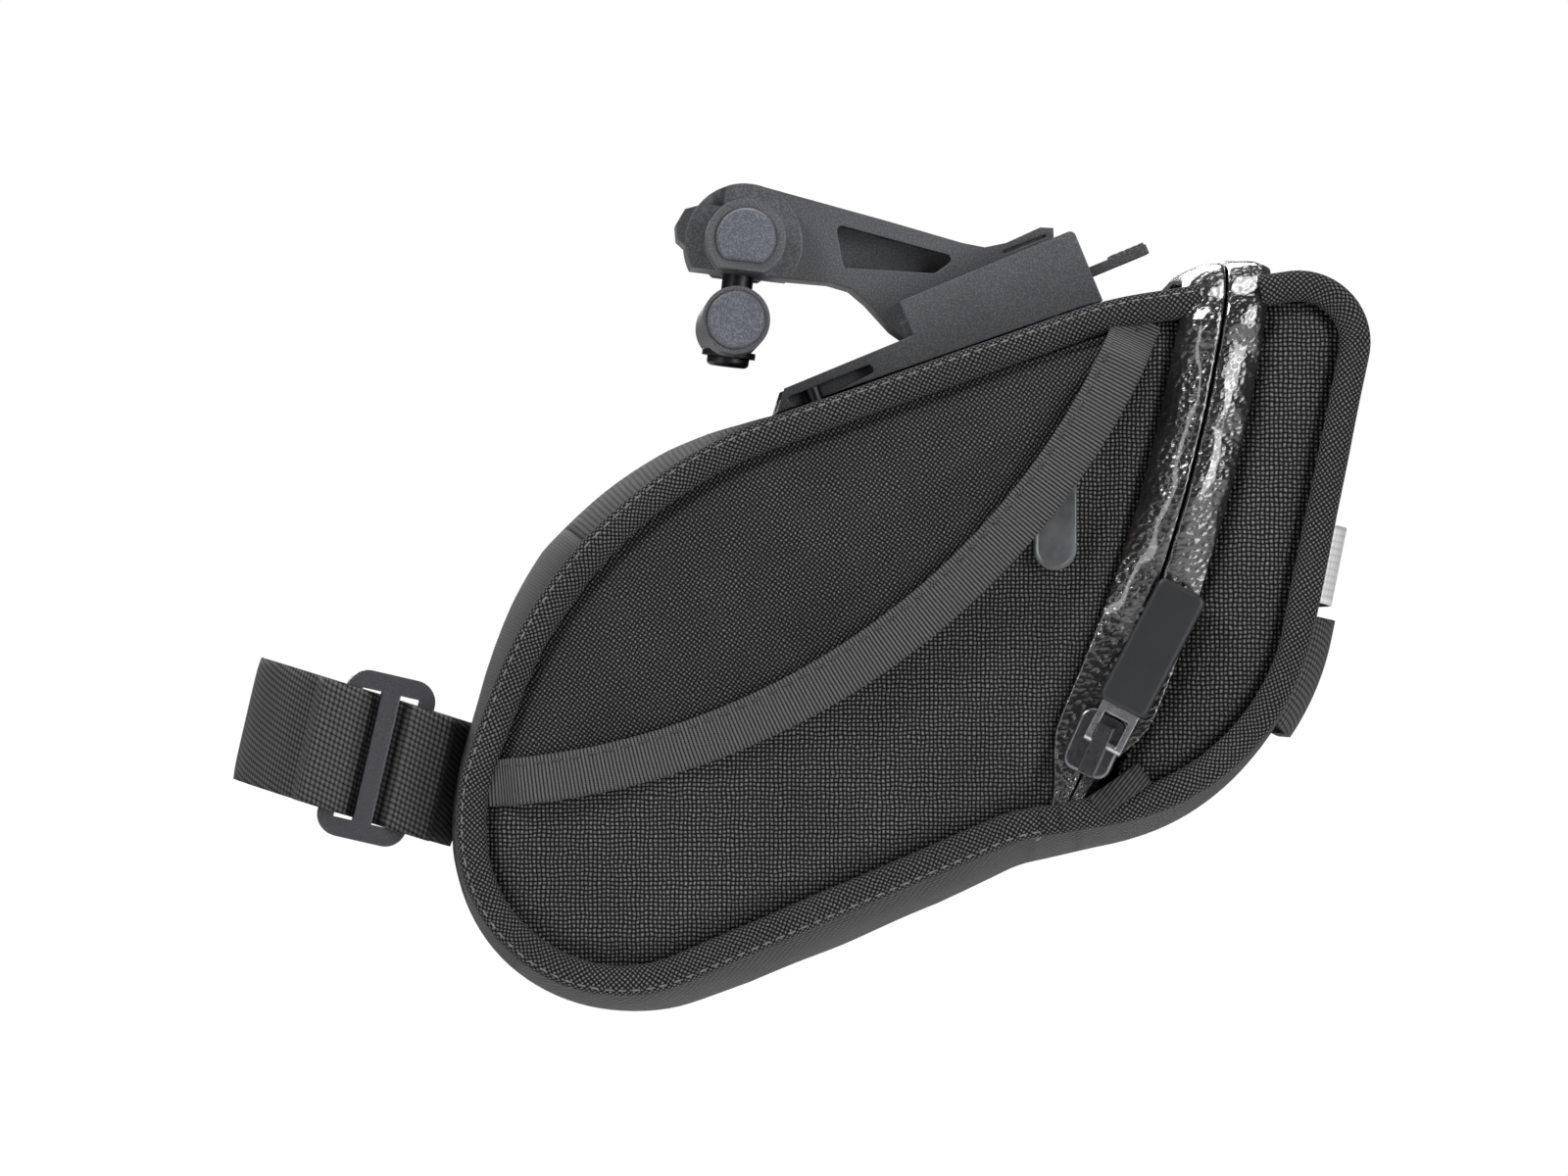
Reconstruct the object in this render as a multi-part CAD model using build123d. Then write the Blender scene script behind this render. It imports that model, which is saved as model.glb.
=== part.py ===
"""Bicycle saddle bag with a quick-release saddle-rail fixer and a seatpost strap.

Row frame, millimetres: +X to the rear of the bicycle, +Y to its right side, +Z up.
The origin is midway between the two saddle rails, at the middle of the rail clamp.
"""

import os
from math import asin, cos, degrees, radians, sin, sqrt, tan

from build123d import *

# ---- what the bag fastens to -------------------------------------------------
RAIL_R = 3.5  # 7 mm round saddle rails
RAIL_Y = 22.0  # half of the 44 mm between the rails' centres
RAIL_TILT = 7.0  # the rails slope down to the rear, degrees
POST_R = 15.45  # 30.9 mm seatpost
POST_TILT = 13.0  # the seatpost leans back, degrees
STRAP_CENTRE = (-60.1, -75.7)  # x, z of the post's axis at the strap's mid-width
SLIDE_TILT = 22.5  # the bag slides off rearwards and up at this slope

CLEAR = 0.3  # room between pieces that move past each other
RUNNING = 0.05  # room under the bolt's head
FAR = 200.0  # longer than anything here, for cutting bodies

# ---- side outline of the bag: corners (x, z) and the radius at each ----------
OUTLINE = [
    (-44.9, -80.5, 30.0),  # nose, against the seatpost
    (-44.7, -127.0, 26.0),  # nose, lowest round
    (43.5, -88.9, 25.0),  # hollow corner at the cap's hinge
    (84.6, -81.7, 38.0),  # tail, underside
    (101.6, 2.8, 11.0),  # tail, top
    (58.1, -3.8, 60.0),  # behind the bracket
    (-27.2, -33.6, 72.0),  # long round over the nose
]
HALF_AT_ORIGIN = 31.4  # half of the bag's width where x is 0
TAPER = 0.098  # half-width gained for each millimetre to the rear

WALL = 2.2  # padded side panels
GUSSET_OUT = 0.8  # the gusset stands outside the piping's outline by this
GUSSET_WALL = 2.3
BELLY_OUT = 3.0  # the underside is fuller
BELLY_WALL = 3.2
PIPING_W = 4.6  # as seen from the side
PIPING_IN = 2.5  # reaches this far inside the side plane
PIPING_OUT = 1.6  # and this far outside it
NOSE_WALL = 5.2  # the nose is padded where the seatpost presses
NOSE_TOP = (-24.0, -42.8)  # the nose piece runs from here
NOSE_BOTTOM = (-36.0, -108.5)  # to here, round the front
SIDE_MIDDLE = -66.0  # top and bottom gussets part at this height

# ---- zip: an arch over the bag on a cylinder about Y ------------------------
ZIP_CENTRE = (-187.5, 34.7)
ZIP_R = 266.5
ZIP_TAPE = 7.0  # each half of the tape
ZIP_GAP = 0.3  # from the seam to each half
ZIP_FOOT = -80.0  # the tape ends at this height
COIL_W = 1.5
COIL_H = 1.3

# ---- side pockets -----------------------------------------------------------
POCKET_CENTRE = (-46.8, 37.9)
POCKET_R = 122.0
BINDING_W = 7.5
BINDING_T = 1.8
POCKET_T = 1.2
TAB_AT = (49.3, -43.0)
TAB_R = 3.4
TAB_T = 1.2
END_TAB_AT = (59.6, -81.1)
END_TAB_TILT = 35.0
END_TAB_L = 9.4
END_TAB_W = 3.8
END_TAB_LIFT = 0.2  # over the piping
END_TAB_T = 1.2

# ---- bracket and fixer, in the slide's own frame ----------------------------
SLIDE_ORIGIN = (25.5, -3.4)  # top front corner of the bracket's channel
CHANNEL_L = 30.0
CHANNEL_HALF = 14.5
BRACKET_HALF = 18.2
BRACKET_TOE = -25.5  # the bracket's front end
TOE_TOP = -5.8  # top of the bracket's low front rails
LIP_T = 2.9
LIP_HALF = 10.4  # the slot between the lips is twice this
REAR_WALL = 2.5
FLANGE_BOTTOM = -6.1
TONGUE_TOP = -6.4
TONGUE_T = 1.6
TONGUE_HALF = 6.0
TONGUE_END = 40.5
TONGUE_PAD = 34.6  # the finger pad starts here
TONGUE_ROOT = 15.0  # it bends here, past a fixed foot
GROOVE = 1.4  # depth of the tongue's groove in the channel's floor
FLOOR_FRONT = -8.6  # top of the channel's floor at its front end
FLOOR_FALL = 3.3  # the floor falls away from the slide, degrees
SLAB_END = 27.0  # rear end of the slab that fills the channel
TOE_SCOOP = [(7.2, -18.9), (20.8, -13.4), (21.6, -14.6), (16.5, -17.2), (9.3, -20.4)]
SCREW_R = 1.3
SCREW_ALONG = (42.0, 82.0)  # from the top line's front corner
SCREW_Y = 16.3  # each screw is in the wall beside the channel
SCREW_HEAD_R = 3.0
SCREW_HEAD_H = 1.8
SCREW_REACH = 4.2
PLATE_T = 2.0
PLATE_MID = 32.0
PLATE_L = 54.0

# ---- rail clamp, in the clamp's own frame -----------------------------------
UPPER_BAR_Z = 6.35
UPPER_BAR_R = 6.3
LOWER_BAR_Z = -6.7
LOWER_BAR_R = 5.4
JAW_GAP = 1.25  # each jaw stops this far from the rail's centre
BAR_HALF = 30.0
CAP_R = 4.8
CAP_T = 0.9
BOLT_R = 2.5
BOLT_HOLE_R = 2.8
BOLT_TOP = 12.0
HEAD_R = 3.4
HEAD_H = 1.5
WASHER_R = 4.3
WASHER_T = 1.0
WASHER_TOP = -11.0
NUT_FLAT = 8.0
NUT_Z = (6.5, 10.5)
SOCKET_FLAT = 3.0
SOCKET_DEPTH = 1.6
BARREL_HALF = 13.0
BARREL_R = 9.3

# ---- the arm's side outline, x and z from the front round the top ------------
ARM_HALF = 10.0
ARM_WEB = 5.5  # depth of the triangular recess on each side
ARM_RECESS = [(15.5, 9.2), (35.0, 3.9), (31.4, 1.3), (16.8, 2.2)]
ARM_TOP = [
    (-8.6, 11.6),
    (-6.0, 12.3),
    (-3.6, 14.6),
    (0.8, 15.75),
    (4.2, 15.1),
    (23.4, 9.8),
    (35.8, 6.2),
    (39.4, 5.5),
    (42.8, 6.2),
    (48.3, 8.7),
    (50.4, 8.6),
]
ARM_UNDER = [
    (24.6, -7.8),
    (20.6, -3.4),
    (18.0, -1.2),
    (14.6, -0.2),
    (6.0, 0.55),
    (-6.0, 3.2),
    (-9.8, 6.8),
    (-10.0, 9.2),
]
LIP_GROOVE = [(42.2, 4.9), (49.2, 7.6), (49.2, 7.1), (42.4, 4.4)]
LIP_GROOVE_DEPTH = 0.6

# ---- seatpost strap, in the post's own frame --------------------------------
STRAP_W = 20.0
STRAP_T = 1.9
STRAP_LEAN = 4.4  # the strap falls to the rear of square to the post, degrees
RING_ANGLE = 277.0  # where the ring sits round the post, seen from above
RING_W = 14.4
RING_H = 27.0
RING_T = 2.0
RING_BAR = 3.0  # top and bottom bars
RING_SIDE = 2.5  # side bars, under the webbing
RING_MIDDLE = 3.0
RING_ROUND = 3.5  # outer corners
TAIL_SPAN = (130.0, 247.0)

# ---- rear cap trim ----------------------------------------------------------
REFLECTOR_Z = (-51.5, -38.5)
LOOP_Z = (-73.0, -53.5)
LOOP_T = 1.2
LOOP_GAP = 1.4
LOOP_HALF = 24.0
LOOP_SEWN = 6.0

# ---- zip slider and pull ----------------------------------------------------
SLIDER_Z = -73.8
SLIDER_L = 10.5
SLIDER_W = 8.0
SLIDER_T = 3.0
GRIP_L = 21.5
GRIP_W = 8.2
PULL_SHIFT = -1.2  # the pull hangs this far to the rear of the seam
PULL_LEAN = -3.5  # and leans to the rear, degrees
GRIP_T = 2.8
PIVOT_H = SLIDER_T + 1.6  # height of the pull's pivot over the side plane
PIVOT_A = 0.6  # and its place along the slider
LINK_L = 6.2
LINK_W = 6.4
LINK_WIRE = 1.1  # width of the link's side bars
LINK_END = 3.0
LINK_T = 1.4
PIN_R = 0.7
BAIL = (8.4, 2.6, 2.6)  # the slider's loop that holds the link
BAIL_A = -0.8
BAIL_HOLE_R = 0.95


# ---------------------------------------------------------------- outline tools
def offset_outline(grow):
    """The outline's corners moved out by grow, with radii that keep it parallel."""
    points = [Vector(x, z) for x, z, _ in OUTLINE]
    moved, radii = [], []
    for i, (_, _, radius) in enumerate(OUTLINE):
        before, here, after = points[i - 1], points[i], points[(i + 1) % len(points)]
        d1, d2 = (here - before).normalized(), (after - here).normalized()
        turn = d1.X * d2.Y - d1.Y * d2.X
        bisector = (Vector(d1.Y, -d1.X) + Vector(d2.Y, -d2.X)).normalized()
        moved.append(here + bisector * (grow / bisector.dot(Vector(d1.Y, -d1.X))))
        radii.append(radius + grow if turn > 0 else radius - grow)
    return moved, radii


def prism(grow):
    """The side outline, grown by grow, right across the bag."""
    points, radii = offset_outline(grow)
    wire = FilletPolyline(*[(p.X, p.Y) for p in points], radius=radii, close=True)
    return extrude(Plane.XZ * make_face(wire), amount=FAR / 2, both=True)


def half_width(x):
    return HALF_AT_ORIGIN + TAPER * x


def plan(points):
    """A plan outline, (x, y) points, carried through the bag's whole height."""
    return extrude(make_face(Polyline(*points, close=True)), amount=FAR, both=True)


def within(inset):
    """Everything between the two side planes, moved in by inset."""
    a, b = half_width(-FAR) - inset, half_width(FAR) - inset
    return plan([(-FAR, -a), (FAR, -b), (FAR, b), (-FAR, a)])


def layer(side, outer, inner):
    """The slab on one side between two insets from the side plane. side is -1 or 1."""
    x0, x1 = -100.0, FAR
    return plan(
        [
            (x0, side * (half_width(x0) - outer)),
            (x1, side * (half_width(x1) - outer)),
            (x1, side * (half_width(x1) - inner)),
            (x0, side * (half_width(x0) - inner)),
        ]
    )


def disc(centre, radius):
    """A cylinder about Y, right across the bag."""
    face = Plane.XZ * Pos(*centre) * Circle(radius)
    return extrude(face, amount=FAR / 2, both=True)


def below(z):
    return Pos(0, 0, z - FAR / 2) * Box(2 * FAR, FAR, FAR)


def side_prism(points, half, radius=0.0):
    """An (x, z) polygon made solid from -half to half across the bag."""
    if radius:
        edge = FilletPolyline(*points, radius=radius, close=True)
    else:
        edge = Polyline(*points, close=True)
    return extrude(Plane.XZ * make_face(edge), amount=half, both=True)


def sector(first, second):
    """The part of the bag seen from its middle between two outline points."""
    middle = (0.0, SIDE_MIDDLE)
    far = [
        (middle[0] + 4 * (x - middle[0]), middle[1] + 4 * (z - middle[1]))
        for x, z in (first, second)
    ]
    return side_prism([middle, *far], FAR / 2)


CLAMP = Rot(0, RAIL_TILT, 0)
SLIDE = Pos(SLIDE_ORIGIN[0], 0, SLIDE_ORIGIN[1]) * Rot(0, -SLIDE_TILT, 0)
POST = Pos(STRAP_CENTRE[0], 0, STRAP_CENTRE[1]) * Rot(0, POST_TILT, 0)
SIDES = {"left": -1, "right": 1}


def zip_x(z):
    """Where the zip's seam is at height z."""
    return ZIP_CENTRE[0] + sqrt(ZIP_R**2 - (z - ZIP_CENTRE[1]) ** 2)


# ------------------------------------------------------------------- bag shell
def zones():
    """Solids that hold what is in front of the zip, behind it, and each tape."""
    foot = below(ZIP_FOOT)
    front = disc(ZIP_CENTRE, ZIP_R - ZIP_TAPE) + (
        disc(ZIP_CENTRE, ZIP_R - ZIP_GAP) & foot
    )
    not_cap = disc(ZIP_CENTRE, ZIP_R + ZIP_TAPE) + (
        disc(ZIP_CENTRE, ZIP_R + ZIP_GAP) & foot
    )
    front_tape = (
        disc(ZIP_CENTRE, ZIP_R - ZIP_GAP) - disc(ZIP_CENTRE, ZIP_R - ZIP_TAPE) - foot
    )
    rear_tape = (
        disc(ZIP_CENTRE, ZIP_R + ZIP_TAPE) - disc(ZIP_CENTRE, ZIP_R + ZIP_GAP) - foot
    )
    return front, not_cap, front_tape, rear_tape


def post_room(radius):
    return POST * Cylinder(radius, 2 * FAR)


def gusset_pieces(front, not_cap):
    """The band between the side panels: top, nose and bottom, and the cap's own."""
    between = within(PIPING_IN)
    ring = (prism(GUSSET_OUT) - prism(GUSSET_OUT - GUSSET_WALL)) & between
    nose_sector = sector(NOSE_TOP, NOSE_BOTTOM)
    room = post_room(POST_R + STRAP_T)
    nose = (prism(GUSSET_OUT) - prism(GUSSET_OUT - NOSE_WALL)) & between & nose_sector
    rest = (ring - nose_sector) & front
    upper = Pos(0, 0, FAR / 2 + SIDE_MIDDLE) * Box(2 * FAR, FAR, FAR)
    belly = (prism(BELLY_OUT) - prism(BELLY_OUT - BELLY_WALL)) & between
    return {
        "nose_gusset": nose - room,
        "top_gusset": rest & upper,
        "bottom_gusset": ((belly - nose_sector) & front) - upper,
        "cap_gusset": ring - not_cap,
    }


def side_pieces(front, not_cap):
    """Side panels and piping, in front of the zip and on the cap."""
    core, rim = prism(-PIPING_W), prism(0) - prism(-PIPING_W)
    made = {}
    for name, side in SIDES.items():
        panel = core & layer(side, 0, WALL)
        piping = rim & layer(side, -PIPING_OUT, PIPING_IN)
        made[f"{name}_side_panel"] = panel & front
        made[f"{name}_piping"] = piping & front
        made[f"cap_{name}_panel"] = panel - not_cap
        made[f"cap_{name}_piping"] = piping - not_cap
    return made


def zip_pieces(front_tape, rear_tape):
    """Two tapes that arch over the bag, and a coil along each."""
    shell = (prism(GUSSET_OUT) & within(0)) - (
        prism(GUSSET_OUT - GUSSET_WALL) & within(WALL)
    )
    coil_room = (prism(GUSSET_OUT - GUSSET_WALL) & within(WALL)) - (
        prism(GUSSET_OUT - GUSSET_WALL - COIL_H) & within(WALL + COIL_H)
    )
    inner_ring = disc(ZIP_CENTRE, ZIP_R - ZIP_GAP) - disc(
        ZIP_CENTRE, ZIP_R - ZIP_GAP - COIL_W
    )
    outer_ring = disc(ZIP_CENTRE, ZIP_R + ZIP_GAP + COIL_W) - disc(
        ZIP_CENTRE, ZIP_R + ZIP_GAP
    )
    foot = below(ZIP_FOOT)
    return {
        "zip_tape_front": shell & front_tape,
        "zip_tape_rear": shell & rear_tape,
        "zip_coil_front": (coil_room & inner_ring) - foot,
        "zip_coil_rear": (coil_room & outer_ring) - foot,
    }


def pocket_pieces():
    """A flat pocket on each side: its panel, bound edge and small rubber tab."""
    room = prism(-PIPING_W - 0.4) & disc(ZIP_CENTRE, ZIP_R - ZIP_TAPE - 0.6)
    inside = disc(POCKET_CENTRE, POCKET_R - BINDING_W)
    edge = disc(POCKET_CENTRE, POCKET_R) - inside
    tab = disc(TAB_AT, TAB_R) + side_prism(
        [
            (TAB_AT[0] - TAB_R, TAB_AT[1]),
            (TAB_AT[0] + TAB_R, TAB_AT[1]),
            (TAB_AT[0] + TAB_R, TAB_AT[1] + 12),
            (TAB_AT[0] - TAB_R, TAB_AT[1] + 12),
        ],
        FAR / 2,
    )
    made = {}
    for name, side in SIDES.items():
        made[f"{name}_pocket_panel"] = room & inside & layer(side, -POCKET_T, 0)
        made[f"{name}_pocket_binding"] = room & edge & layer(side, -BINDING_T, 0)
        shown = tab - disc(POCKET_CENTRE, POCKET_R)
        made[f"{name}_pocket_tab"] = shown & layer(side, -TAB_T, 0)
    return made


def garage_tabs():
    """The ribbed tabs that cover the two lower ends of the zip."""
    x, z = END_TAB_AT
    tilt = Pos(x, 0, z) * Rot(0, -END_TAB_TILT, 0)
    block = tilt * Box(END_TAB_L, FAR, END_TAB_W)
    outer = PIPING_OUT + END_TAB_LIFT + END_TAB_T
    return {
        f"zip_end_tab_{name}": block
        & layer(side, -outer, -PIPING_OUT - END_TAB_LIFT)
        for name, side in SIDES.items()
    }


# ------------------------------------------------------------ bracket on the bag
def slide_box(u0, u1, y0, y1, v0, v1):
    """A box in the slide's frame, along it, across it and up from it."""
    box = Pos((u0 + u1) / 2, (y0 + y1) / 2, (v0 + v1) / 2) * Box(
        u1 - u0, y1 - y0, v1 - v0
    )
    return SLIDE * box


def floor_room(half, drop=0.0):
    """What lies above the channel's sloping floor, or above a lower one."""
    start = BRACKET_TOE - 5
    fall = tan(radians(FLOOR_FALL))
    points = [
        (start, FLOOR_FRONT + 20),
        (start, FLOOR_FRONT - drop - start * fall),
        (FAR, FLOOR_FRONT - drop - FAR * fall),
        (FAR, FLOOR_FRONT + 20),
    ]
    face = Plane.XZ * make_face(Polyline(*points, close=True))
    return SLIDE * extrude(face, amount=half, both=True)


def screw_places():
    """(x, z, y) where each screw's axis meets the bag's top line."""
    start, end = Vector(*OUTLINE[6][:2]), Vector(*OUTLINE[5][:2])
    along = (end - start).normalized()
    return [
        (start + along * s, y)
        for s in SCREW_ALONG
        for y in (-SCREW_Y, SCREW_Y)
    ]


def screw_frame(place):
    point, y = place
    start, end = Vector(*OUTLINE[6][:2]), Vector(*OUTLINE[5][:2])
    slope = degrees(asin((end - start).normalized().Y))
    return Pos(point.X, y, point.Y) * Rot(0, -slope, 0)



def bracket_pieces():
    """The moulded channel on the bag, its backing plate inside, and its screws."""
    high = slide_box(0, CHANNEL_L, -BRACKET_HALF, BRACKET_HALF, -25, 0)
    low = slide_box(BRACKET_TOE, 0, -BRACKET_HALF, BRACKET_HALF, -25, TOE_TOP)
    high = fillet(high.edges().filter_by(Axis.Y).group_by(Axis.Z)[-1], 1.0)
    slot = slide_box(-1, CHANNEL_L - REAR_WALL, -LIP_HALF, LIP_HALF, -5, 5)
    channel = floor_room(CHANNEL_HALF) + floor_room(TONGUE_HALF + 1, GROOVE)
    channel -= slide_box(
        0, CHANNEL_L + 1, -BRACKET_HALF, BRACKET_HALF, -LIP_T, 25
    )
    channel -= slide_box(CHANNEL_L - REAR_WALL, FAR, -FAR, FAR, -FAR, FAR)
    window = slide_box(
        CHANNEL_L - 5,
        CHANNEL_L + 5,
        -TONGUE_HALF - 1,
        TONGUE_HALF + 1,
        TONGUE_TOP - TONGUE_T - 2.0,
        TONGUE_TOP + 1.0,
    )
    bevel = SLIDE * (Pos(BRACKET_TOE, 0, TOE_TOP) * Rot(0, 40, 0) * Box(5, 90, 5))
    scoop = side_prism(TOE_SCOOP, FAR / 2, radius=0.5)
    scoop -= Box(FAR, 2 * CHANNEL_HALF + 2, FAR)
    body = (high + low) - slot - channel - window - bevel - scoop
    body -= prism(GUSSET_OUT)
    plate = (
        (prism(GUSSET_OUT - GUSSET_WALL) - prism(GUSSET_OUT - GUSSET_WALL - PLATE_T))
        & Pos(PLATE_MID, 0, 0) * Box(PLATE_L, 2 * BRACKET_HALF + 4, FAR)
        & Pos(0, 0, FAR / 2 - 40) * Box(FAR, FAR, FAR)
    )
    inner_face = GUSSET_OUT - GUSSET_WALL - PLATE_T
    screws, holes = [], []
    for place in screw_places():
        frame = screw_frame(place)
        shank = Pos(0, 0, (inner_face + SCREW_REACH) / 2) * Cylinder(
            SCREW_R, SCREW_REACH - inner_face
        )
        head = Pos(0, 0, inner_face - SCREW_HEAD_H / 2) * Cylinder(
            SCREW_HEAD_R, SCREW_HEAD_H
        )
        screws.append(frame * (shank + head))
        holes.append(
            frame
            * Pos(0, 0, (inner_face + SCREW_REACH) / 2)
            * Cylinder(SCREW_R, SCREW_REACH - inner_face + 0.02)
        )
    return body, plate, screws, holes


# ------------------------------------------------------------ fixer on the rails
def slide_point(u, v):
    """An (x, z) point from the slide's own along and up values."""
    c, s = cos(radians(SLIDE_TILT)), sin(radians(SLIDE_TILT))
    return (SLIDE_ORIGIN[0] + u * c - v * s, SLIDE_ORIGIN[1] + u * s + v * c)


def fixer_arm():
    """The bent arm from the clamp down to the slide, hollowed on both sides."""
    under = [
        slide_point(SLAB_END, 0.0),
        slide_point(SLAB_END, FLANGE_BOTTOM),
        slide_point(-1.0, FLANGE_BOTTOM),
    ]
    arm = side_prism(ARM_TOP + under + ARM_UNDER, ARM_HALF)
    recess = side_prism(ARM_RECESS, FAR / 2, radius=0.8)
    recess -= Box(FAR, 2 * (ARM_HALF - ARM_WEB), FAR)
    flange = slide_box(
        -1.0,
        SLAB_END,
        -CHANNEL_HALF + CLEAR,
        CHANNEL_HALF - CLEAR,
        FLANGE_BOTTOM,
        -LIP_T - CLEAR,
    )
    foot = slide_box(
        -1.0,
        TONGUE_ROOT - 1 - CLEAR,
        -TONGUE_HALF,
        TONGUE_HALF,
        TONGUE_TOP - TONGUE_T,
        FLANGE_BOTTOM,
    )
    lip = side_prism(LIP_GROOVE, FAR / 2)
    lip -= Box(FAR, 2 * (ARM_HALF - LIP_GROOVE_DEPTH), FAR)
    return arm - recess - lip + flange + foot


def clamp_cylinder(radius, z, half):
    return CLAMP * (Pos(0, 0, z) * Rot(90, 0, 0) * Cylinder(radius, 2 * half))


def clamp_box(x, y0, y1, z0, z1):
    """A box in the clamp's frame, from -x to x, y0 to y1 and z0 to z1."""
    box = Pos(0, (y0 + y1) / 2, (z0 + z1) / 2) * Box(2 * x, abs(y1 - y0), z1 - z0)
    return CLAMP * box


def rail(side):
    return CLAMP * (Pos(0, side * RAIL_Y, 0) * Rot(0, 90, 0) * Cylinder(RAIL_R, FAR))


def bolt_hole(radius, z0, z1):
    return CLAMP * (Pos(0, 0, (z0 + z1) / 2) * Cylinder(radius, z1 - z0))


def upper_jaw():
    """The fixed cross bar, flat below, with a half-round seat for each rail."""
    bar = clamp_cylinder(UPPER_BAR_R, UPPER_BAR_Z, BAR_HALF)
    barrel = clamp_cylinder(BARREL_R, UPPER_BAR_Z, BARREL_HALF)
    flat = clamp_box(20, -FAR / 2, FAR / 2, -20, JAW_GAP)
    made = (bar + barrel) - flat
    for side in SIDES.values():
        made -= rail(side)
        notch = clamp_box(1.0, 0, 1.2, UPPER_BAR_Z + 7.2, UPPER_BAR_Z + 12)
        made -= Pos(-5.0, side * (BARREL_HALF - 0.6) - 0.6, -1.5) * notch
    return made


def lower_jaw():
    """The loose cross bar below the rails."""
    bar = clamp_cylinder(LOWER_BAR_R, LOWER_BAR_Z, BAR_HALF)
    bar -= clamp_box(10, -WASHER_R - 1, WASHER_R + 1, -20, WASHER_TOP)
    for side in SIDES.values():
        bar -= rail(side)
    return bar - bolt_hole(BOLT_HOLE_R, -20, 5)


def end_cap(radius, z, side, flat=None):
    """A plug in the end of a cross bar, with a bevelled face that shows."""
    plug = Pos(0, side * (BAR_HALF - 3.0 + CAP_T / 2), z) * Rot(90, 0, 0) * Cylinder(
        radius, 6.0 + CAP_T
    )
    if flat is not None:
        plug -= Pos(0, 0, z - flat - 10) * Box(40, FAR, 20)
    outer = plug.faces().sort_by(Axis.Y)[-1 if side > 0 else 0]
    plug = chamfer(outer.edges(), 0.4)
    return CLAMP * plug - rail(side)


def hexagon(flat, z0, z1):
    shape = RegularPolygon(flat / sqrt(3), 6)
    return CLAMP * (Pos(0, 0, z0) * extrude(shape, amount=z1 - z0))


def clamp_bolt():
    """A button-head bolt from below, with its hexagon socket."""
    head_top = WASHER_TOP - WASHER_T - RUNNING
    shank = Pos(0, 0, (head_top + BOLT_TOP) / 2) * Cylinder(BOLT_R, BOLT_TOP - head_top)
    shank = chamfer(shank.edges().sort_by(Axis.Z)[-1], 0.5)
    head = Pos(0, 0, head_top - HEAD_H / 2) * Cylinder(HEAD_R, HEAD_H)
    head = fillet(head.edges().sort_by(Axis.Z)[0], HEAD_H - 0.7)
    socket = Pos(0, 0, head_top - HEAD_H) * extrude(
        RegularPolygon(SOCKET_FLAT / sqrt(3), 6), amount=SOCKET_DEPTH
    )
    return CLAMP * (shank + head - socket)


def clamp_washer():
    """A dished washer; its rim hangs below the lower bar on both sides."""
    washer = bolt_hole(WASHER_R, WASHER_TOP - WASHER_T, WASHER_TOP)
    return washer - bolt_hole(BOLT_HOLE_R, -20, 5)


def fixer_pieces():
    body = fixer_arm() + upper_jaw()
    body -= bolt_hole(BOLT_HOLE_R, -5, BOLT_TOP + 1.0)
    body -= hexagon(NUT_FLAT, NUT_Z[0], NUT_Z[1])
    nut = hexagon(NUT_FLAT, NUT_Z[0], NUT_Z[1]) - bolt_hole(BOLT_HOLE_R, -5, 20)
    jaw = lower_jaw()
    made = {"clamp_nut": nut}
    for name, side in SIDES.items():
        upper = end_cap(CAP_R, UPPER_BAR_Z, side, flat=CAP_R - 1.1)
        lower = end_cap(CAP_R - 0.2, LOWER_BAR_Z, side)
        made[f"upper_bar_cap_{name}"] = upper
        made[f"lower_bar_cap_{name}"] = lower
        body -= upper
        jaw -= lower
    made["fixer_body"] = body
    made["lower_jaw"] = jaw
    made["clamp_bolt"] = clamp_bolt()
    made["clamp_washer"] = clamp_washer()
    return made


def release_tongue():
    """The springy tongue under the slide, with a ribbed pad for the thumb."""
    blade = slide_box(
        TONGUE_ROOT - 1,
        TONGUE_END,
        -TONGUE_HALF,
        TONGUE_HALF,
        TONGUE_TOP - TONGUE_T,
        TONGUE_TOP,
    )
    pad = slide_box(
        TONGUE_PAD,
        TONGUE_END,
        -TONGUE_HALF,
        TONGUE_HALF,
        TONGUE_TOP - TONGUE_T,
        TONGUE_TOP + 0.4,
    )
    tongue = blade + pad
    ribs = 5
    pitch = (TONGUE_END - TONGUE_PAD) / ribs
    for i in range(ribs):
        u = TONGUE_PAD + pitch * (i + 0.75)
        tongue -= slide_box(
            u, u + pitch / 2.5, -FAR, FAR, TONGUE_TOP, TONGUE_TOP + 1.0
        )
    return tongue


# --------------------------------------------------------------- seatpost strap
def arc_band(inner, outer, start, end, height):
    """Part of a ring about the post, between two angles seen from above."""
    ring = Cylinder(outer, 3 * height) - Cylinder(inner, 4 * height)
    ring &= Rot(0, STRAP_LEAN, 0) * Box(FAR, FAR, height)
    reach = 4 * outer
    steps = 6
    angles = [radians(start + (end - start) * i / steps) for i in range(steps + 1)]
    fan = [(0.0, 0.0)] + [(reach * cos(a), reach * sin(a)) for a in angles]
    keep = extrude(make_face(Polyline(*fan, close=True)), amount=FAR, both=True)
    return POST * (ring & keep)


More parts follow.
